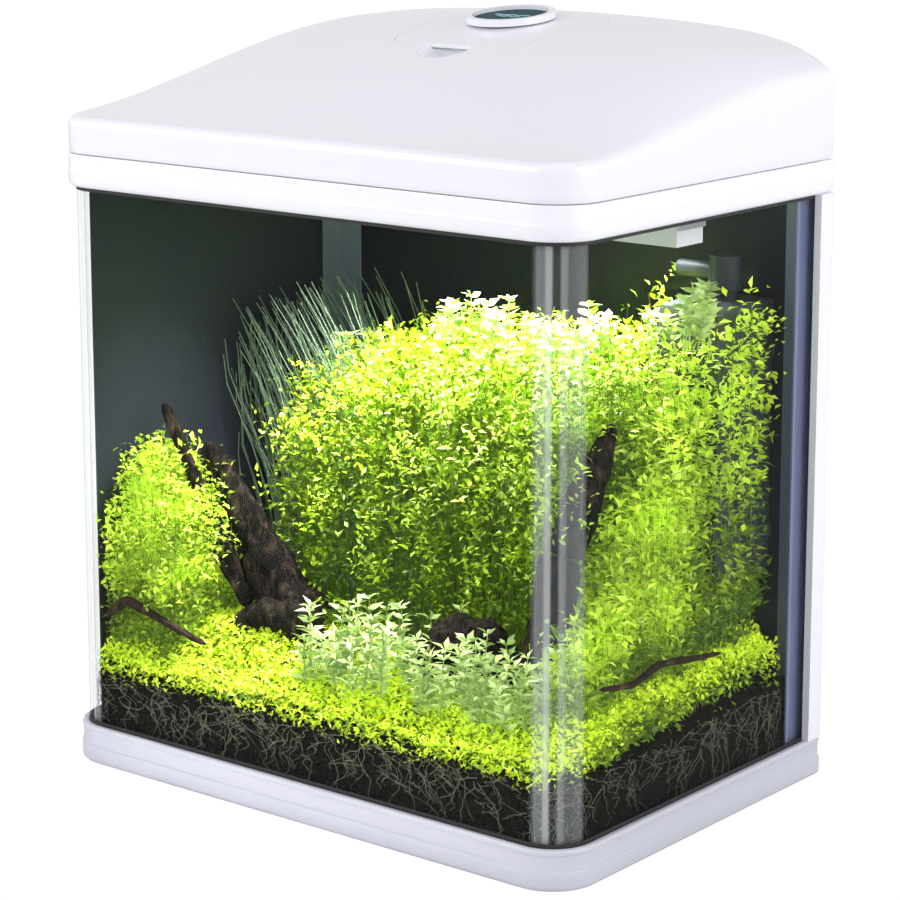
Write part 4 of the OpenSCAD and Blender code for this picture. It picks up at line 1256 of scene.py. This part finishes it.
    def hedge(self, name: str, node: str, finish: bpy.types.Material, step: int, spread: tuple[float, float],
              depth: tuple[float, float], stems: int, leaf: tuple[float, float], top: Callable, slot: str,
              whorls: int = 18, spacing: float = 4.4 * MM, lump_size: float = 7 * MM,
              lightness: float = 0.4) -> None:
        """Build a mass of leafy stems under a surface.

        Args:
            name: The piece's name.
            node: The plain solid that it stands for.
            finish: Its material.
            step: Which random order it takes.
            spread: Where it starts and ends along X.
            depth: Where it starts and ends along Y.
            stems: How many stems it has.
            leaf: Its shortest and longest leaf.
            top: Returns the height of its surface over the plan.
            slot: Its slot in the record.
            whorls: How many whorls of leaves a stem has, from its tip down.
            spacing: How far apart they are.
            lump_size: The size of its clumps.
            lightness: How light its lowest tips are, from 0 to 1.
        """
        rng = self.rng(step)
        x, y = rng.uniform(*spread, stems), rng.uniform(*depth, stems)
        ground = self.tank.soil(y)
        swell = clumps(np.column_stack([x, y, x * 0.4]), lump_size * 1.6)
        high = top(x, y) + 5 * MM * swell + rng.normal(0, 3 * MM, stems) + rng.gamma(1.2, 2.4 * MM, stems)
        tall = np.maximum(high - ground, 12 * MM)
        lean = rng.normal(0, 0.075, (stems, 2)) * tall[:, None] + np.column_stack([np.zeros(stems), -0.05 * tall])
        rise = np.linspace(0, 1, 4)
        paths = np.stack([x[:, None] + lean[:, :1] * rise ** 1.6, y[:, None] + lean[:, 1:] * rise ** 1.6,
                          ground[:, None] + tall[:, None] * rise], -1)
        cloud = LeafCloud(rng)
        cloud.stems(paths, 0.3 * MM, 0.05)
        ring = 3
        below = (np.arange(whorls) + rng.uniform(0, 1, (stems, whorls))) * spacing
        share = np.clip(1 - below / tall[:, None], 0.08, 1)
        base = np.stack([x[:, None] + lean[:, :1] * share ** 1.6, y[:, None] + lean[:, 1:] * share ** 1.6,
                         ground[:, None] + tall[:, None] * share], -1)
        turn = rng.uniform(0, 2 * math.pi, (stems, whorls, 1)) + np.arange(ring) * 2 * math.pi / ring
        lift = rng.uniform(0.1, 0.9, turn.shape)
        along = np.stack([np.cos(turn), np.sin(turn), lift], -1)
        length = rng.uniform(*leaf, turn.shape)
        at = base[:, :, None] + rng.normal(0, 1, along.shape) * np.array([4.2, 4.2, 2.0]) * MM
        along = along + rng.normal(0, 0.45, along.shape)
        # Painted light and shade: leaves are lighter the higher they stand, darker the further they sit below their
        # stem's tip, and lighter on the swell of each clump than in the thin gaps between.
        height = (base[..., 2] - 100 * MM) / (150 * MM)
        shade = (below[..., None] / (whorls * spacing)) ** 1.2 * 0.85
        tone = lightness + 0.42 * height[..., None] - shade + rng.normal(0, 0.2, turn.shape)
        lump = clumps(at, lump_size)
        tone = np.clip(tone + 0.42 * lump, 0, 1)
        length = length * (1 + 0.18 * lump)
        kept = (lump > -0.5) | (rng.uniform(0, 1, lump.shape) > 0.6)
        cloud.leaves(at[kept], along[kept], length[kept], 0.46, tone[kept])
        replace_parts(cloud.build(name, finish, slot, self.tank.free), node)

    def build_sprigs(self, finish: bpy.types.Material) -> None:
        """Build the few taller shoots with larger pale leaves along the hedge's top.

        Args:
            finish: Their material.
        """
        rng = self.rng(30)
        number = 36
        x = rng.uniform(-120, 172, number) * MM
        y = rng.uniform(6, 46, number) * MM
        low = self.hill(x, y) - 12 * MM
        tall = rng.uniform(14, 34, number) * MM
        rise = np.linspace(0, 1, 5)
        lean = rng.normal(0, 3.5 * MM, (number, 2))
        paths = np.stack([x[:, None] + lean[:, :1] * rise, y[:, None] + lean[:, 1:] * rise,
                          low[:, None] + tall[:, None] * rise], -1)
        cloud = LeafCloud(rng)
        cloud.stems(paths, 0.5 * MM, 0.5)
        whorls, ring = 5, 5
        share = 1 - np.arange(whorls) * 0.17
        base = np.stack([x[:, None] + lean[:, :1] * share, y[:, None] + lean[:, 1:] * share,
                         low[:, None] + tall[:, None] * share], -1)
        turn = rng.uniform(0, TURN, (number, whorls, 1)) + np.arange(ring) * 2 * math.pi / ring
        along = np.stack([np.cos(turn), np.sin(turn), rng.uniform(0.3, 1.0, turn.shape)], -1)
        at = np.broadcast_to(base[:, :, None], along.shape)
        cloud.leaves(at.reshape(-1, 3), along.reshape(-1, 3), rng.uniform(6.5, 10.5, turn.size) * MM, 0.5,
                     rng.uniform(0.35, 1, turn.size))
        cloud.build("hedge_sprigs", finish, "pale_green", self.tank.free)

    def build_carpet(self, finish: bpy.types.Material) -> None:
        """Build the low carpet that covers the soil, thicker away from the front glass.

        Args:
            finish: Its material.
        """
        rng = self.rng(2)
        number = 62000
        x = rng.uniform(-180, 180, number) * MM
        y = -121 * MM + rng.power(1.0, number) * 232 * MM
        wanted = (y < -34 * MM) | (x > 132 * MM) | (x < -160 * MM)
        x, y = x[wanted], y[wanted]
        number = len(x)
        t = np.clip((y + 121 * MM) / (62 * MM), 0, 1)
        mound = 8 * MM + 20 * MM * t * t * (3 - 2 * t)
        wave = 3 * MM * (np.sin(x / (17 * MM)) * np.cos(y / (13 * MM) + x / (31 * MM)))
        rise = rng.uniform(0.0, 1.0, number) ** 0.33
        z = self.tank.soil(y) - 2 * MM + (mound + wave + 3 * MM) * rise
        near = (np.abs(y + 119 * MM) < 3 * MM) | (np.abs(x) > 177 * MM)
        fringe = (2.5 + 2.5 * np.sin(x / (9 * MM)) * np.sin(y / (8 * MM) + x / (23 * MM))) * MM
        edge = -rng.gamma(1.2, 2.4 * MM, number) * near - fringe * near
        turn = rng.uniform(0, 2 * math.pi, number)
        along = np.column_stack([np.cos(turn), np.sin(turn), rng.uniform(0.1, 1.3, number)])
        cloud = LeafCloud(rng)
        # Painted shade: leaves low in the carpet are darker and those on its top lighter.
        tone = np.clip(rise ** 3 * 0.95 + rng.normal(0.08, 0.2, number), 0, 1)
        cloud.leaves(np.column_stack([x, y, z + edge]), along, rng.uniform(2.8, 5.2, number) * MM, 0.5, tone)
        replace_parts(cloud.build("carpet", finish, "carpet_green", self.tank.free), "carpet_plants")

    def build_leafy(self, finish: bpy.types.Material) -> None:
        """Build the loose plants with longer, pale leaves between the wood and the carpet.

        Args:
            finish: Their material.
        """
        rng = self.rng(3)
        number = 120
        x, y = rng.uniform(-40, 150, number) * MM, rng.uniform(-98, -48, number) * MM
        ground = self.tank.soil(y) + 8 * MM
        tall = rng.uniform(16, 54, number) * MM
        lean = rng.normal(0, 6 * MM, (number, 2))
        rise = np.linspace(0, 1, 5)
        cloud = LeafCloud(rng)
        cloud.stems(np.stack([x[:, None] + lean[:, :1] * rise, y[:, None] + lean[:, 1:] * rise,
                              ground[:, None] + tall[:, None] * rise], -1), 0.6 * MM, 0.4)
        whorls, ring = 6, 4
        share = 1 - np.arange(whorls) * 0.14
        base = np.stack([x[:, None] + lean[:, :1] * share, y[:, None] + lean[:, 1:] * share,
                         ground[:, None] + tall[:, None] * share], -1)
        turn = rng.uniform(0, TURN, (number, whorls, 1)) + np.arange(ring) * 2 * math.pi / ring
        along = np.stack([np.cos(turn), np.sin(turn), rng.uniform(0.2, 0.9, turn.shape)], -1)
        at = np.broadcast_to(base[:, :, None], along.shape)
        cloud.leaves(at.reshape(-1, 3), along.reshape(-1, 3), rng.uniform(6, 10.5, turn.size) * MM, 0.38,
                     rng.uniform(0.3, 1, turn.size))
        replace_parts(cloud.build("leafy_group", finish, "pale_green", self.tank.free), "leafy_plants")

    def build_reeds(self, finish: bpy.types.Material) -> None:
        """Build the dark needle leaves that lean out to the left behind the hedge.

        Args:
            finish: Their material.
        """
        rng = self.rng(4)
        number = 250
        x, y = rng.uniform(-176, -58, number) * MM, rng.uniform(8, 86, number) * MM
        ground = self.tank.soil(y)
        tips = np.interp(x, np.array([-165, -120, -62]) * MM, np.array([246, 270, 288]) * MM)
        high = tips - rng.gamma(1.5, 13 * MM, number)
        rise = np.linspace(0, 1, 9)
        lean = -rng.uniform(24, 84, number) * MM
        xs = x[:, None] + 18 * MM + lean[:, None] * rise ** 2.4
        ys = y[:, None] + rng.normal(0, 7 * MM, (number, 1)) * rise ** 2
        zs = ground[:, None] + (high - ground)[:, None] * (rise ** 0.9)
        cloud = LeafCloud(rng)
        cloud.stems(np.stack([np.clip(xs, -176 * MM, None), ys, zs], -1), 0.8 * MM, 0.5)
        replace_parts(cloud.build("needle_reeds", finish, "reed_green", self.tank.free), "reeds")

    def wood(self, name: str, node: str | None, finish: bpy.types.Material, knots: Sequence, radii: Sequence,
             step: int, sides: int = 30, rough: float = 0.22) -> None:
        """Build a gnarled limb along a path, with furrows that run along it.

        Args:
            name: The piece's name.
            node: The plain solid that it stands for, if it does.
            finish: Its material.
            knots: Points of the path, in millimetres.
            radii: The limb's radius at each of them, in millimetres.
            step: Which random order it takes.
            sides: How many points there are round the limb.
            rough: How deep the furrows are, as a share of the radius.
        """
        rng = self.rng(step)
        knots, radii = np.array(knots, float) * MM, np.array(radii, float) * MM
        rings = 56
        place = np.linspace(0, len(knots) - 1, rings)
        path = np.stack([np.interp(place, np.arange(len(knots)), knots[:, a]) for a in range(3)], 1)
        for _ in range(5):
            path[1:-1] = (path[:-2] + path[1:-1] * 2 + path[2:]) / 4
        size = np.interp(place, np.arange(len(knots)), radii)
        size[:2] *= (0.35, 0.8)
        size[-2:] *= (0.8, 0.35)
        points, faces = tubes(path[None], size[None], sides)
        points = points.reshape(rings, sides, 3)
        angle = np.arange(sides) * 2 * math.pi / sides
        furrow = np.zeros((rings, sides))
        for wave in range(2, 9):
            twist = rng.uniform(-0.05, 0.05)
            furrow += np.sin(wave * (angle[None] + twist * np.arange(rings)[:, None]) + rng.uniform(0, TURN)) / wave
        furrow += np.sin(np.arange(rings)[:, None] * 0.55 + rng.uniform(0, TURN, sides)[None] * 0.3) * 0.25
        centre = path[:, None]
        points = centre + (points - centre) * (1 + rough * (furrow + rng.normal(0, 0.18, furrow.shape)))[..., None]
        faces = [list(f) for f in faces]
        faces += [list(range(sides)), [(rings - 1) * sides + i for i in range(sides)][::-1]]
        piece = make_piece(name, points.reshape(-1, 3), faces, finish, smooth_angle=60)
        if node:
            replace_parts(piece, node)

    def build_wood(self, bark: bpy.types.Material, twig: bpy.types.Material) -> None:
        """Build the driftwood, the stump and the twigs that lie on the carpet.

        Args:
            bark: The driftwood's material.
            twig: The twigs' material.
        """
        self.wood("trunk", "driftwood_trunk", bark, [(-74, -40, 60), (-80, -38, 84), (-98, -36, 108),
            (-120, -36, 136), (-142, -36, 166), (-154, -36, 186)], (20, 22, 15, 12, 9, 6), 10, rough=0.3)
        self.wood("trunk_branch", None, bark, [(-108, -50, 92), (-126, -52, 122),
            (-142, -52, 152), (-158, -54, 184), (-170, -58, 212)], (4, 6, 5, 4, 3), 11, sides=18)
        self.wood("trunk_root", None, bark, [(-40, -58, 74), (-62, -54, 92),
            (-88, -54, 92), (-116, -58, 78)], (9, 13, 11, 6), 12, sides=20, rough=0.3)
        self.wood("stump", "driftwood_stump", bark, [(116, -62, 62), (117, -50, 110), (119, -40, 156),
            (121, -14, 200), (122, 6, 228)], (13, 12, 11, 8, 4), 13, rough=0.25)
        self.wood("wood_form", None, bark, [(30, -56, 84), (54, -60, 100), (82, -58, 102), (108, -54, 84)],
                  (10, 15, 14, 8), 14, rough=0.3)
        self.wood("lying_twig", "twigs", twig, [(-172, -108, 88), (-158, -106, 100), (-140, -104, 95),
            (-120, -102, 88), (-98, -100, 82)], (2.4, 3, 2.6, 2.2, 1.6), 15, 10, 0.2)
        self.wood("right_twig", None, twig, [(172, -74, 101), (174, -46, 97), (172, -16, 102),
            (174, 14, 98), (173, 44, 94)], (1.4, 1.8, 1.9, 1.6, 1), 16, 10, 0.2)


# ---------------------------------------------------------------- details that ride on the mouldings
@dataclass
class Details:
    """The sheen of the two bends and the waves on the badge.

    Args:
        plan: The outline that the bends follow.
        dome: The lid's surface, which the badge lies along.
    """

    plan: Plan
    dome: Dome

    def build_sheen(self, finish: bpy.types.Material) -> None:
        """Build one curved strip in the thickness of each bend.

        Args:
            finish: Their material.
        """
        inset = 7 * MM
        radius = self.plan.front_r - inset
        w, d = self.plan.half_w - inset, self.plan.half_d - inset
        steps = 64
        for name, side in (("bend_sheen_left", -1), ("bend_sheen_right", 1)):
            outline = arc((w - radius, radius - d), radius, -90, 0, steps) * (side, 1)
            base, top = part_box("base_tray")[1].z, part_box("hood_frame")[0].z
            points = np.concatenate([np.column_stack([outline, np.full(steps + 1, z)]) for z in (base, top)])
            faces = [[i, i + 1, steps + 2 + i, steps + 1 + i] for i in range(steps)]
            piece = make_piece(name, points, faces, finish)
            give_value(piece, "turn", np.tile(np.linspace(0, 1, steps + 1), 2))

    def build_waves(self, finish: bpy.types.Material) -> None:
        """Build two raised waves across the badge, a plain pattern in place of any mark.

        Args:
            finish: Their material.
        """
        low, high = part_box("badge_disc")
        y = (low.y + high.y) / 2
        rise = self.dome.top(np.array([0.0, 0.0]), np.array([y - 22 * MM, y + 22 * MM]))
        slope = math.atan((rise[1] - rise[0]) / (44 * MM))
        centre_z = (low.z + high.z) / 2 + 0.5 * MM
        paths = []
        for offset, reach in ((-2, 9), (2, 13)):
            u = np.linspace(-reach, reach, 41) * MM
            v = (offset + 0.9 * np.sin(np.linspace(0, 5 * math.pi, 41))) * MM
            paths.append(np.column_stack([u, y + v * math.cos(slope), centre_z + v * math.sin(slope)]))
        points, faces = tubes(np.array(paths), np.full((2, 41), 0.55 * MM), 8)
        make_piece("badge_waves", points, faces, finish, "flap")


@dataclass
class Studio:
    """The camera, the lights, the floor and the room's light.

    Args:
        place: Where the camera stands.
        azimuth: The camera's turn about the upright, in degrees.
        tilt: How far it looks down, in degrees.
        lens: Its focal length, in millimetres.
        shift: Its upward shift, as a share of the picture.
    """

    place: tuple[float, float, float] = (1.0385, -1.2908, 0.5798)
    azimuth: float = 38.583
    tilt: float = 11.212
    lens: float = 114.4
    shift: float = -0.10

    def build_camera(self) -> None:
        """Place the camera."""
        camera = bpy.data.cameras.new("camera")
        camera.lens, camera.shift_y = self.lens, self.shift
        camera.sensor_width, camera.clip_end = 36.0, 100.0
        stand = bpy.data.objects.new("camera", camera)
        stand.location = self.place
        stand.rotation_euler = (math.radians(90 - self.tilt), 0, math.radians(self.azimuth))
        bpy.context.scene.collection.objects.link(stand)
        bpy.context.scene.camera = stand

    @staticmethod
    def lamp(name: str, place: Sequence[float], target: Sequence[float], size: tuple[float, float], power: float,
             colour: Colour = (1, 1, 1), spread: float = 180.0) -> None:
        """Place an area light that faces a point, with its beam's spread in degrees.

        Args:
            name: Its name.
            place: Where it stands.
            target: The point that it faces.
            size: Its width and height.
            power: Its power, in watts.
            colour: Its colour.
            spread: The beam's spread, in degrees.
        """
        light = bpy.data.lights.new(name, "AREA")
        light.shape, light.size, light.size_y = "RECTANGLE", *size
        light.energy, light.color, light.spread = power, colour, math.radians(spread)
        stand = bpy.data.objects.new(name, light)
        stand.location = place
        stand.rotation_euler = (Vector(target) - Vector(place)).to_track_quat("-Z", "Y").to_euler()
        bpy.context.scene.collection.objects.link(stand)

    def build_lights(self) -> None:
        """Build the soft room lights and the tank's own lamp."""
        self.lamp("key", (-0.9, -1.7, 1.3), (0, 0, 0.25), (1.4, 1.2), 26)
        self.lamp("side", (1.9, 0.3, 0.9), (0, 0, 0.25), (1.2, 1.2), 21)
        low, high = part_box("lamp_lens")
        middle = (low + high) / 2
        self.lamp("tank_light", (middle.x, middle.y - 0.01, low.z - 0.002), (middle.x + 0.02, middle.y - 0.05, 0),
                  (0.27, 0.05), 1.75, (1, 0.98, 0.94), 105.0)

    def build_world(self) -> None:
        """Build a white room that is a little dimmer overhead."""
        world = bpy.data.worlds.new("room")
        world.use_nodes = True
        bpy.context.scene.world = world
        world.node_tree.nodes.clear()
        g = Graph(world.node_tree)
        split = g.add("ShaderNodeSeparateXYZ", Vector=g.add("ShaderNodeTexCoord").outputs["Generated"])
        room = g.remap(split.outputs[2], 0.05, 0.9, 0.84, 0.50)
        seen = g.add("ShaderNodeLightPath").outputs["Is Camera Ray"]
        strength = g.math("MAXIMUM", room, g.math("MULTIPLY", seen, 1.05))
        light = g.add("ShaderNodeBackground", Color=(1, 1, 1), Strength=strength)
        g.tree.links.new(light.outputs[0], g.add("ShaderNodeOutputWorld").inputs[0])

    def build_floor(self) -> None:
        """Build the white floor."""
        mesh = bpy.data.meshes.new("floor")
        mesh.from_pydata([(-9, -9, 0), (9, -9, 0), (9, 9, 0), (-9, 9, 0)], [], [(0, 1, 2, 3)])
        material, g, out = new_material("floor_white")
        lit = g.add("ShaderNodeBsdfDiffuse", Color=(0.72, 0.72, 0.73))
        bright = g.add("ShaderNodeEmission", Color=(1, 1, 1), Strength=1.05)
        seen = g.add("ShaderNodeLightPath").outputs["Is Camera Ray"]
        both = g.add("ShaderNodeMixShader", i0=seen, i1=lit.outputs[0], i2=bright.outputs[0])
        g.tree.links.new(both.outputs[0], out.inputs[0])
        mesh.materials.append(material)
        floor = bpy.data.objects.new("floor", mesh)
        bpy.context.scene.collection.objects.link(floor)


# ---------------------------------------------------------------- finishes
BEND_BANDS: Profile = [(0.0, 0.0), (0.06, 0.06), (0.12, 0.2), (0.21, 0.18), (0.285, 0.4), (0.325, 0.38),
                       (0.38, 0.04), (0.45, 0.04), (0.51, 0.26), (0.56, 0.24), (0.62, 0.12), (0.88, 0.15),
                       (1.0, 0.0)]
WHITE = Moulded("white_plastic", (0.83, 0.83, 0.90), (0.815, 0.815, 0.89), 0.24, coat=0.35)
LID_WHITE = Moulded("white_lid_plastic", (0.82, 0.82, 0.89), (0.805, 0.81, 0.885), 0.24, coat=0.4)
FINISHES: dict[str, Finish] = {
    "white_shell": WHITE,
    "white_lid": LID_WHITE,
    "foot_rubber": Moulded("black_rubber", (0.012, 0.012, 0.014), (0.02, 0.02, 0.022), 0.55, bump=0.00003),
    "foam_mat": Moulded("foam", (0.03, 0.033, 0.036), (0.05, 0.052, 0.056), 0.9, bump=0.0003, grain=500),
    "clear_glass": ClearGlass("glass", (0.985, 0.993, 0.99)),
    "silicone": Moulded("clear_silicone", (0.55, 0.57, 0.58), (0.48, 0.5, 0.51), 0.3),
    "slate_film": Moulded("slate_film", (0.036, 0.042, 0.062), (0.039, 0.045, 0.066), 0.9, bump=0.000004,
                          specular=0.05),
    "grey_trim": Moulded("grey_trim", (0.19, 0.21, 0.37), (0.22, 0.24, 0.40), 0.6, specular=0.15),
    "steel": Moulded("steel", (0.62, 0.62, 0.64), (0.52, 0.52, 0.55), 0.24, metallic=1.0, bump=0.000005,
                     grain=1500),
    "teal_enamel": Moulded("teal_enamel", (0.004, 0.060, 0.080), (0.002, 0.030, 0.045), 0.5, specular=0.12),
    "lamp_shell": Moulded("lamp_shell", (0.72, 0.73, 0.76), (0.68, 0.69, 0.73), 0.32),
    "lamp_lens": ClearGlass("lamp_glass", (0.93, 0.94, 0.94), 0.25, 0.5),
    "board_metal": Moulded("board_metal", (0.6, 0.61, 0.6), (0.5, 0.52, 0.51), 0.4, metallic=0.8),
    "led_phosphor": Moulded("led_phosphor", (0.95, 0.85, 0.5), (0.9, 0.78, 0.4), 0.4, emission=3.0),
    "filter_shell": Moulded("filter_shell", (0.028, 0.036, 0.045), (0.045, 0.055, 0.065), 0.4, wear=0.4),
    "sponge": Rough("sponge", (0.012, 0.02, 0.026), (0.05, 0.07, 0.085), 700.0, 0.0012, cells=True),
    "pump_shell": Moulded("pump_shell", (0.016, 0.019, 0.023), (0.028, 0.031, 0.036), 0.42, wear=0.3),
    "shaft_ceramic": Moulded("shaft_ceramic", (0.8, 0.78, 0.74), (0.72, 0.7, 0.66), 0.22),
    "filter_pipe": Moulded("filter_pipe", (0.016, 0.023, 0.03), (0.026, 0.034, 0.042), 0.45, wear=0.2,
                           specular=0.25),
    "cup_rubber": Moulded("cup_rubber", (0.05, 0.055, 0.06), (0.08, 0.085, 0.09), 0.35),
    "soil": Rough("soil", (0.0015, 0.0013, 0.0011), (0.012, 0.009, 0.006), 420.0, 0.0018, cells=True),
    "driftwood": Rough("driftwood", (0.0016, 0.0012, 0.001), (0.095, 0.066, 0.046), 240.0, 0.003),
    "twig_wood": Rough("twig_bark", (0.02, 0.012, 0.008), (0.14, 0.085, 0.05), 260.0, 0.0008),
    "carpet_green": Leaf("carpet_leaf", (0.03, 0.11, 0.003), (0.76, 0.96, 0.035), painted_glow=0.32),
    "pale_green": Leaf("pale_leaf", (0.02, 0.12, 0.012), (0.74, 0.92, 0.34), painted_glow=0.14),
    "deep_green": Leaf("deep_leaf", (0.005, 0.045, 0.002), (0.68, 0.93, 0.06), painted_glow=0.32),
    "bright_green": Leaf("bright_leaf", (0.006, 0.055, 0.001), (0.60, 0.88, 0.02), painted_glow=0.2),
    "reed_green": Leaf("reed_leaf", (0.010, 0.034, 0.016), (0.30, 0.42, 0.30), painted_glow=0.05),
}


class Dresser:
    """Builds each finish once and gives it to the carried-over nodes."""

    def __init__(self) -> None:
        """Build every finish."""
        self.made = {slot: finish.build() for slot, finish in FINISHES.items()}
        # Painted shade: the base is white plastic like the hood, given this darker grey to stand for the shade it
        # lies in.
        self.base = Moulded("base_plastic_painted_shade", (0.55, 0.55, 0.64), (0.54, 0.54, 0.63), 0.34, coat=0.3).build()
        self.root = Leaf("root_fibre", (0.012, 0.011, 0.007), (0.34, 0.33, 0.22), 0.7).build()
        self.emblem = Moulded("badge_relief", (0.30, 0.50, 0.54), (0.22, 0.42, 0.46), 0.45, specular=0.2).build()
        self.sheen = BendSheen("bend_sheen", BEND_BANDS).build()

    def dress(self, frame: dict) -> None:
        """Give every node of the frame the finish of its slot.
        """
        for row in frame["record"]["subparts"]:
            node = frame["nodes"].get(row["node"])
            if node is None:
                continue
            node.data.materials.clear()
            node.data.materials.append(self.made[row["material_slot"]])
            LOG.info("%s: %s", row["node"], row["material_slot"])


def settle_view() -> None:
    """Show plain, unfiltered colours."""
    view = bpy.context.scene.view_settings
    view.view_transform, view.look, view.exposure, view.gamma = "Standard", "None", 0.0, 1.0


def main() -> None:
    """Build the whole scene."""
    logging.basicConfig(level=logging.INFO, format="%(name)s %(message)s")
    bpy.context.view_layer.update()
    plan = Plan.from_frame()
    looks = Dresser()
    looks.dress(frame)
    made = looks.made
    Base(plan).build(looks.base)
    Glass(plan).build(made["clear_glass"])
    hood = Hood(plan)
    hood.build_frame(made["white_shell"])
    hood.build_knuckles(made["white_shell"])
    hood.build_lid(made["white_lid"])
    hood.build_flap(made["white_lid"])
    details = Details(plan, hood.dome)
    details.build_sheen(looks.sheen)
    details.build_waves(looks.emblem)
    plants = Planting(Tank(plan))
    plants.build_soil(made["soil"], looks.root)
    plants.build_wood(made["driftwood"], made["twig_wood"])
    plants.build_carpet(made["carpet_green"])
    plants.build_leafy(made["pale_green"])
    plants.hedge("middle_hedge", "middle_bush", made["bright_green"], 5, (-128 * MM, 118 * MM), (-34 * MM, 72 * MM),
                 860, (3.4 * MM, 6.0 * MM), plants.hill, "bright_green")
    plants.hedge("right_hedge", "right_bush", made["deep_green"], 6, (122 * MM, 166 * MM), (-78 * MM, 118 * MM),
                 610, (4.6 * MM, 8.4 * MM), plants.side_mound, "deep_green", 28, 6.9 * MM, 11 * MM, 0.40)
    plants.hedge("left_hedge", "left_bush", made["deep_green"], 7, (-179 * MM, -128 * MM), (-98 * MM, -34 * MM),
                 520, (3.4 * MM, 6.0 * MM), plants.left_mound, "deep_green", lightness=0.66)
    plants.build_sprigs(made["pale_green"])
    plants.build_reeds(made["reed_green"])
    studio = Studio()
    studio.build_world()
    studio.build_floor()
    studio.build_lights()
    studio.build_camera()
    settle_view()


if __name__ == "__main__":
    main()
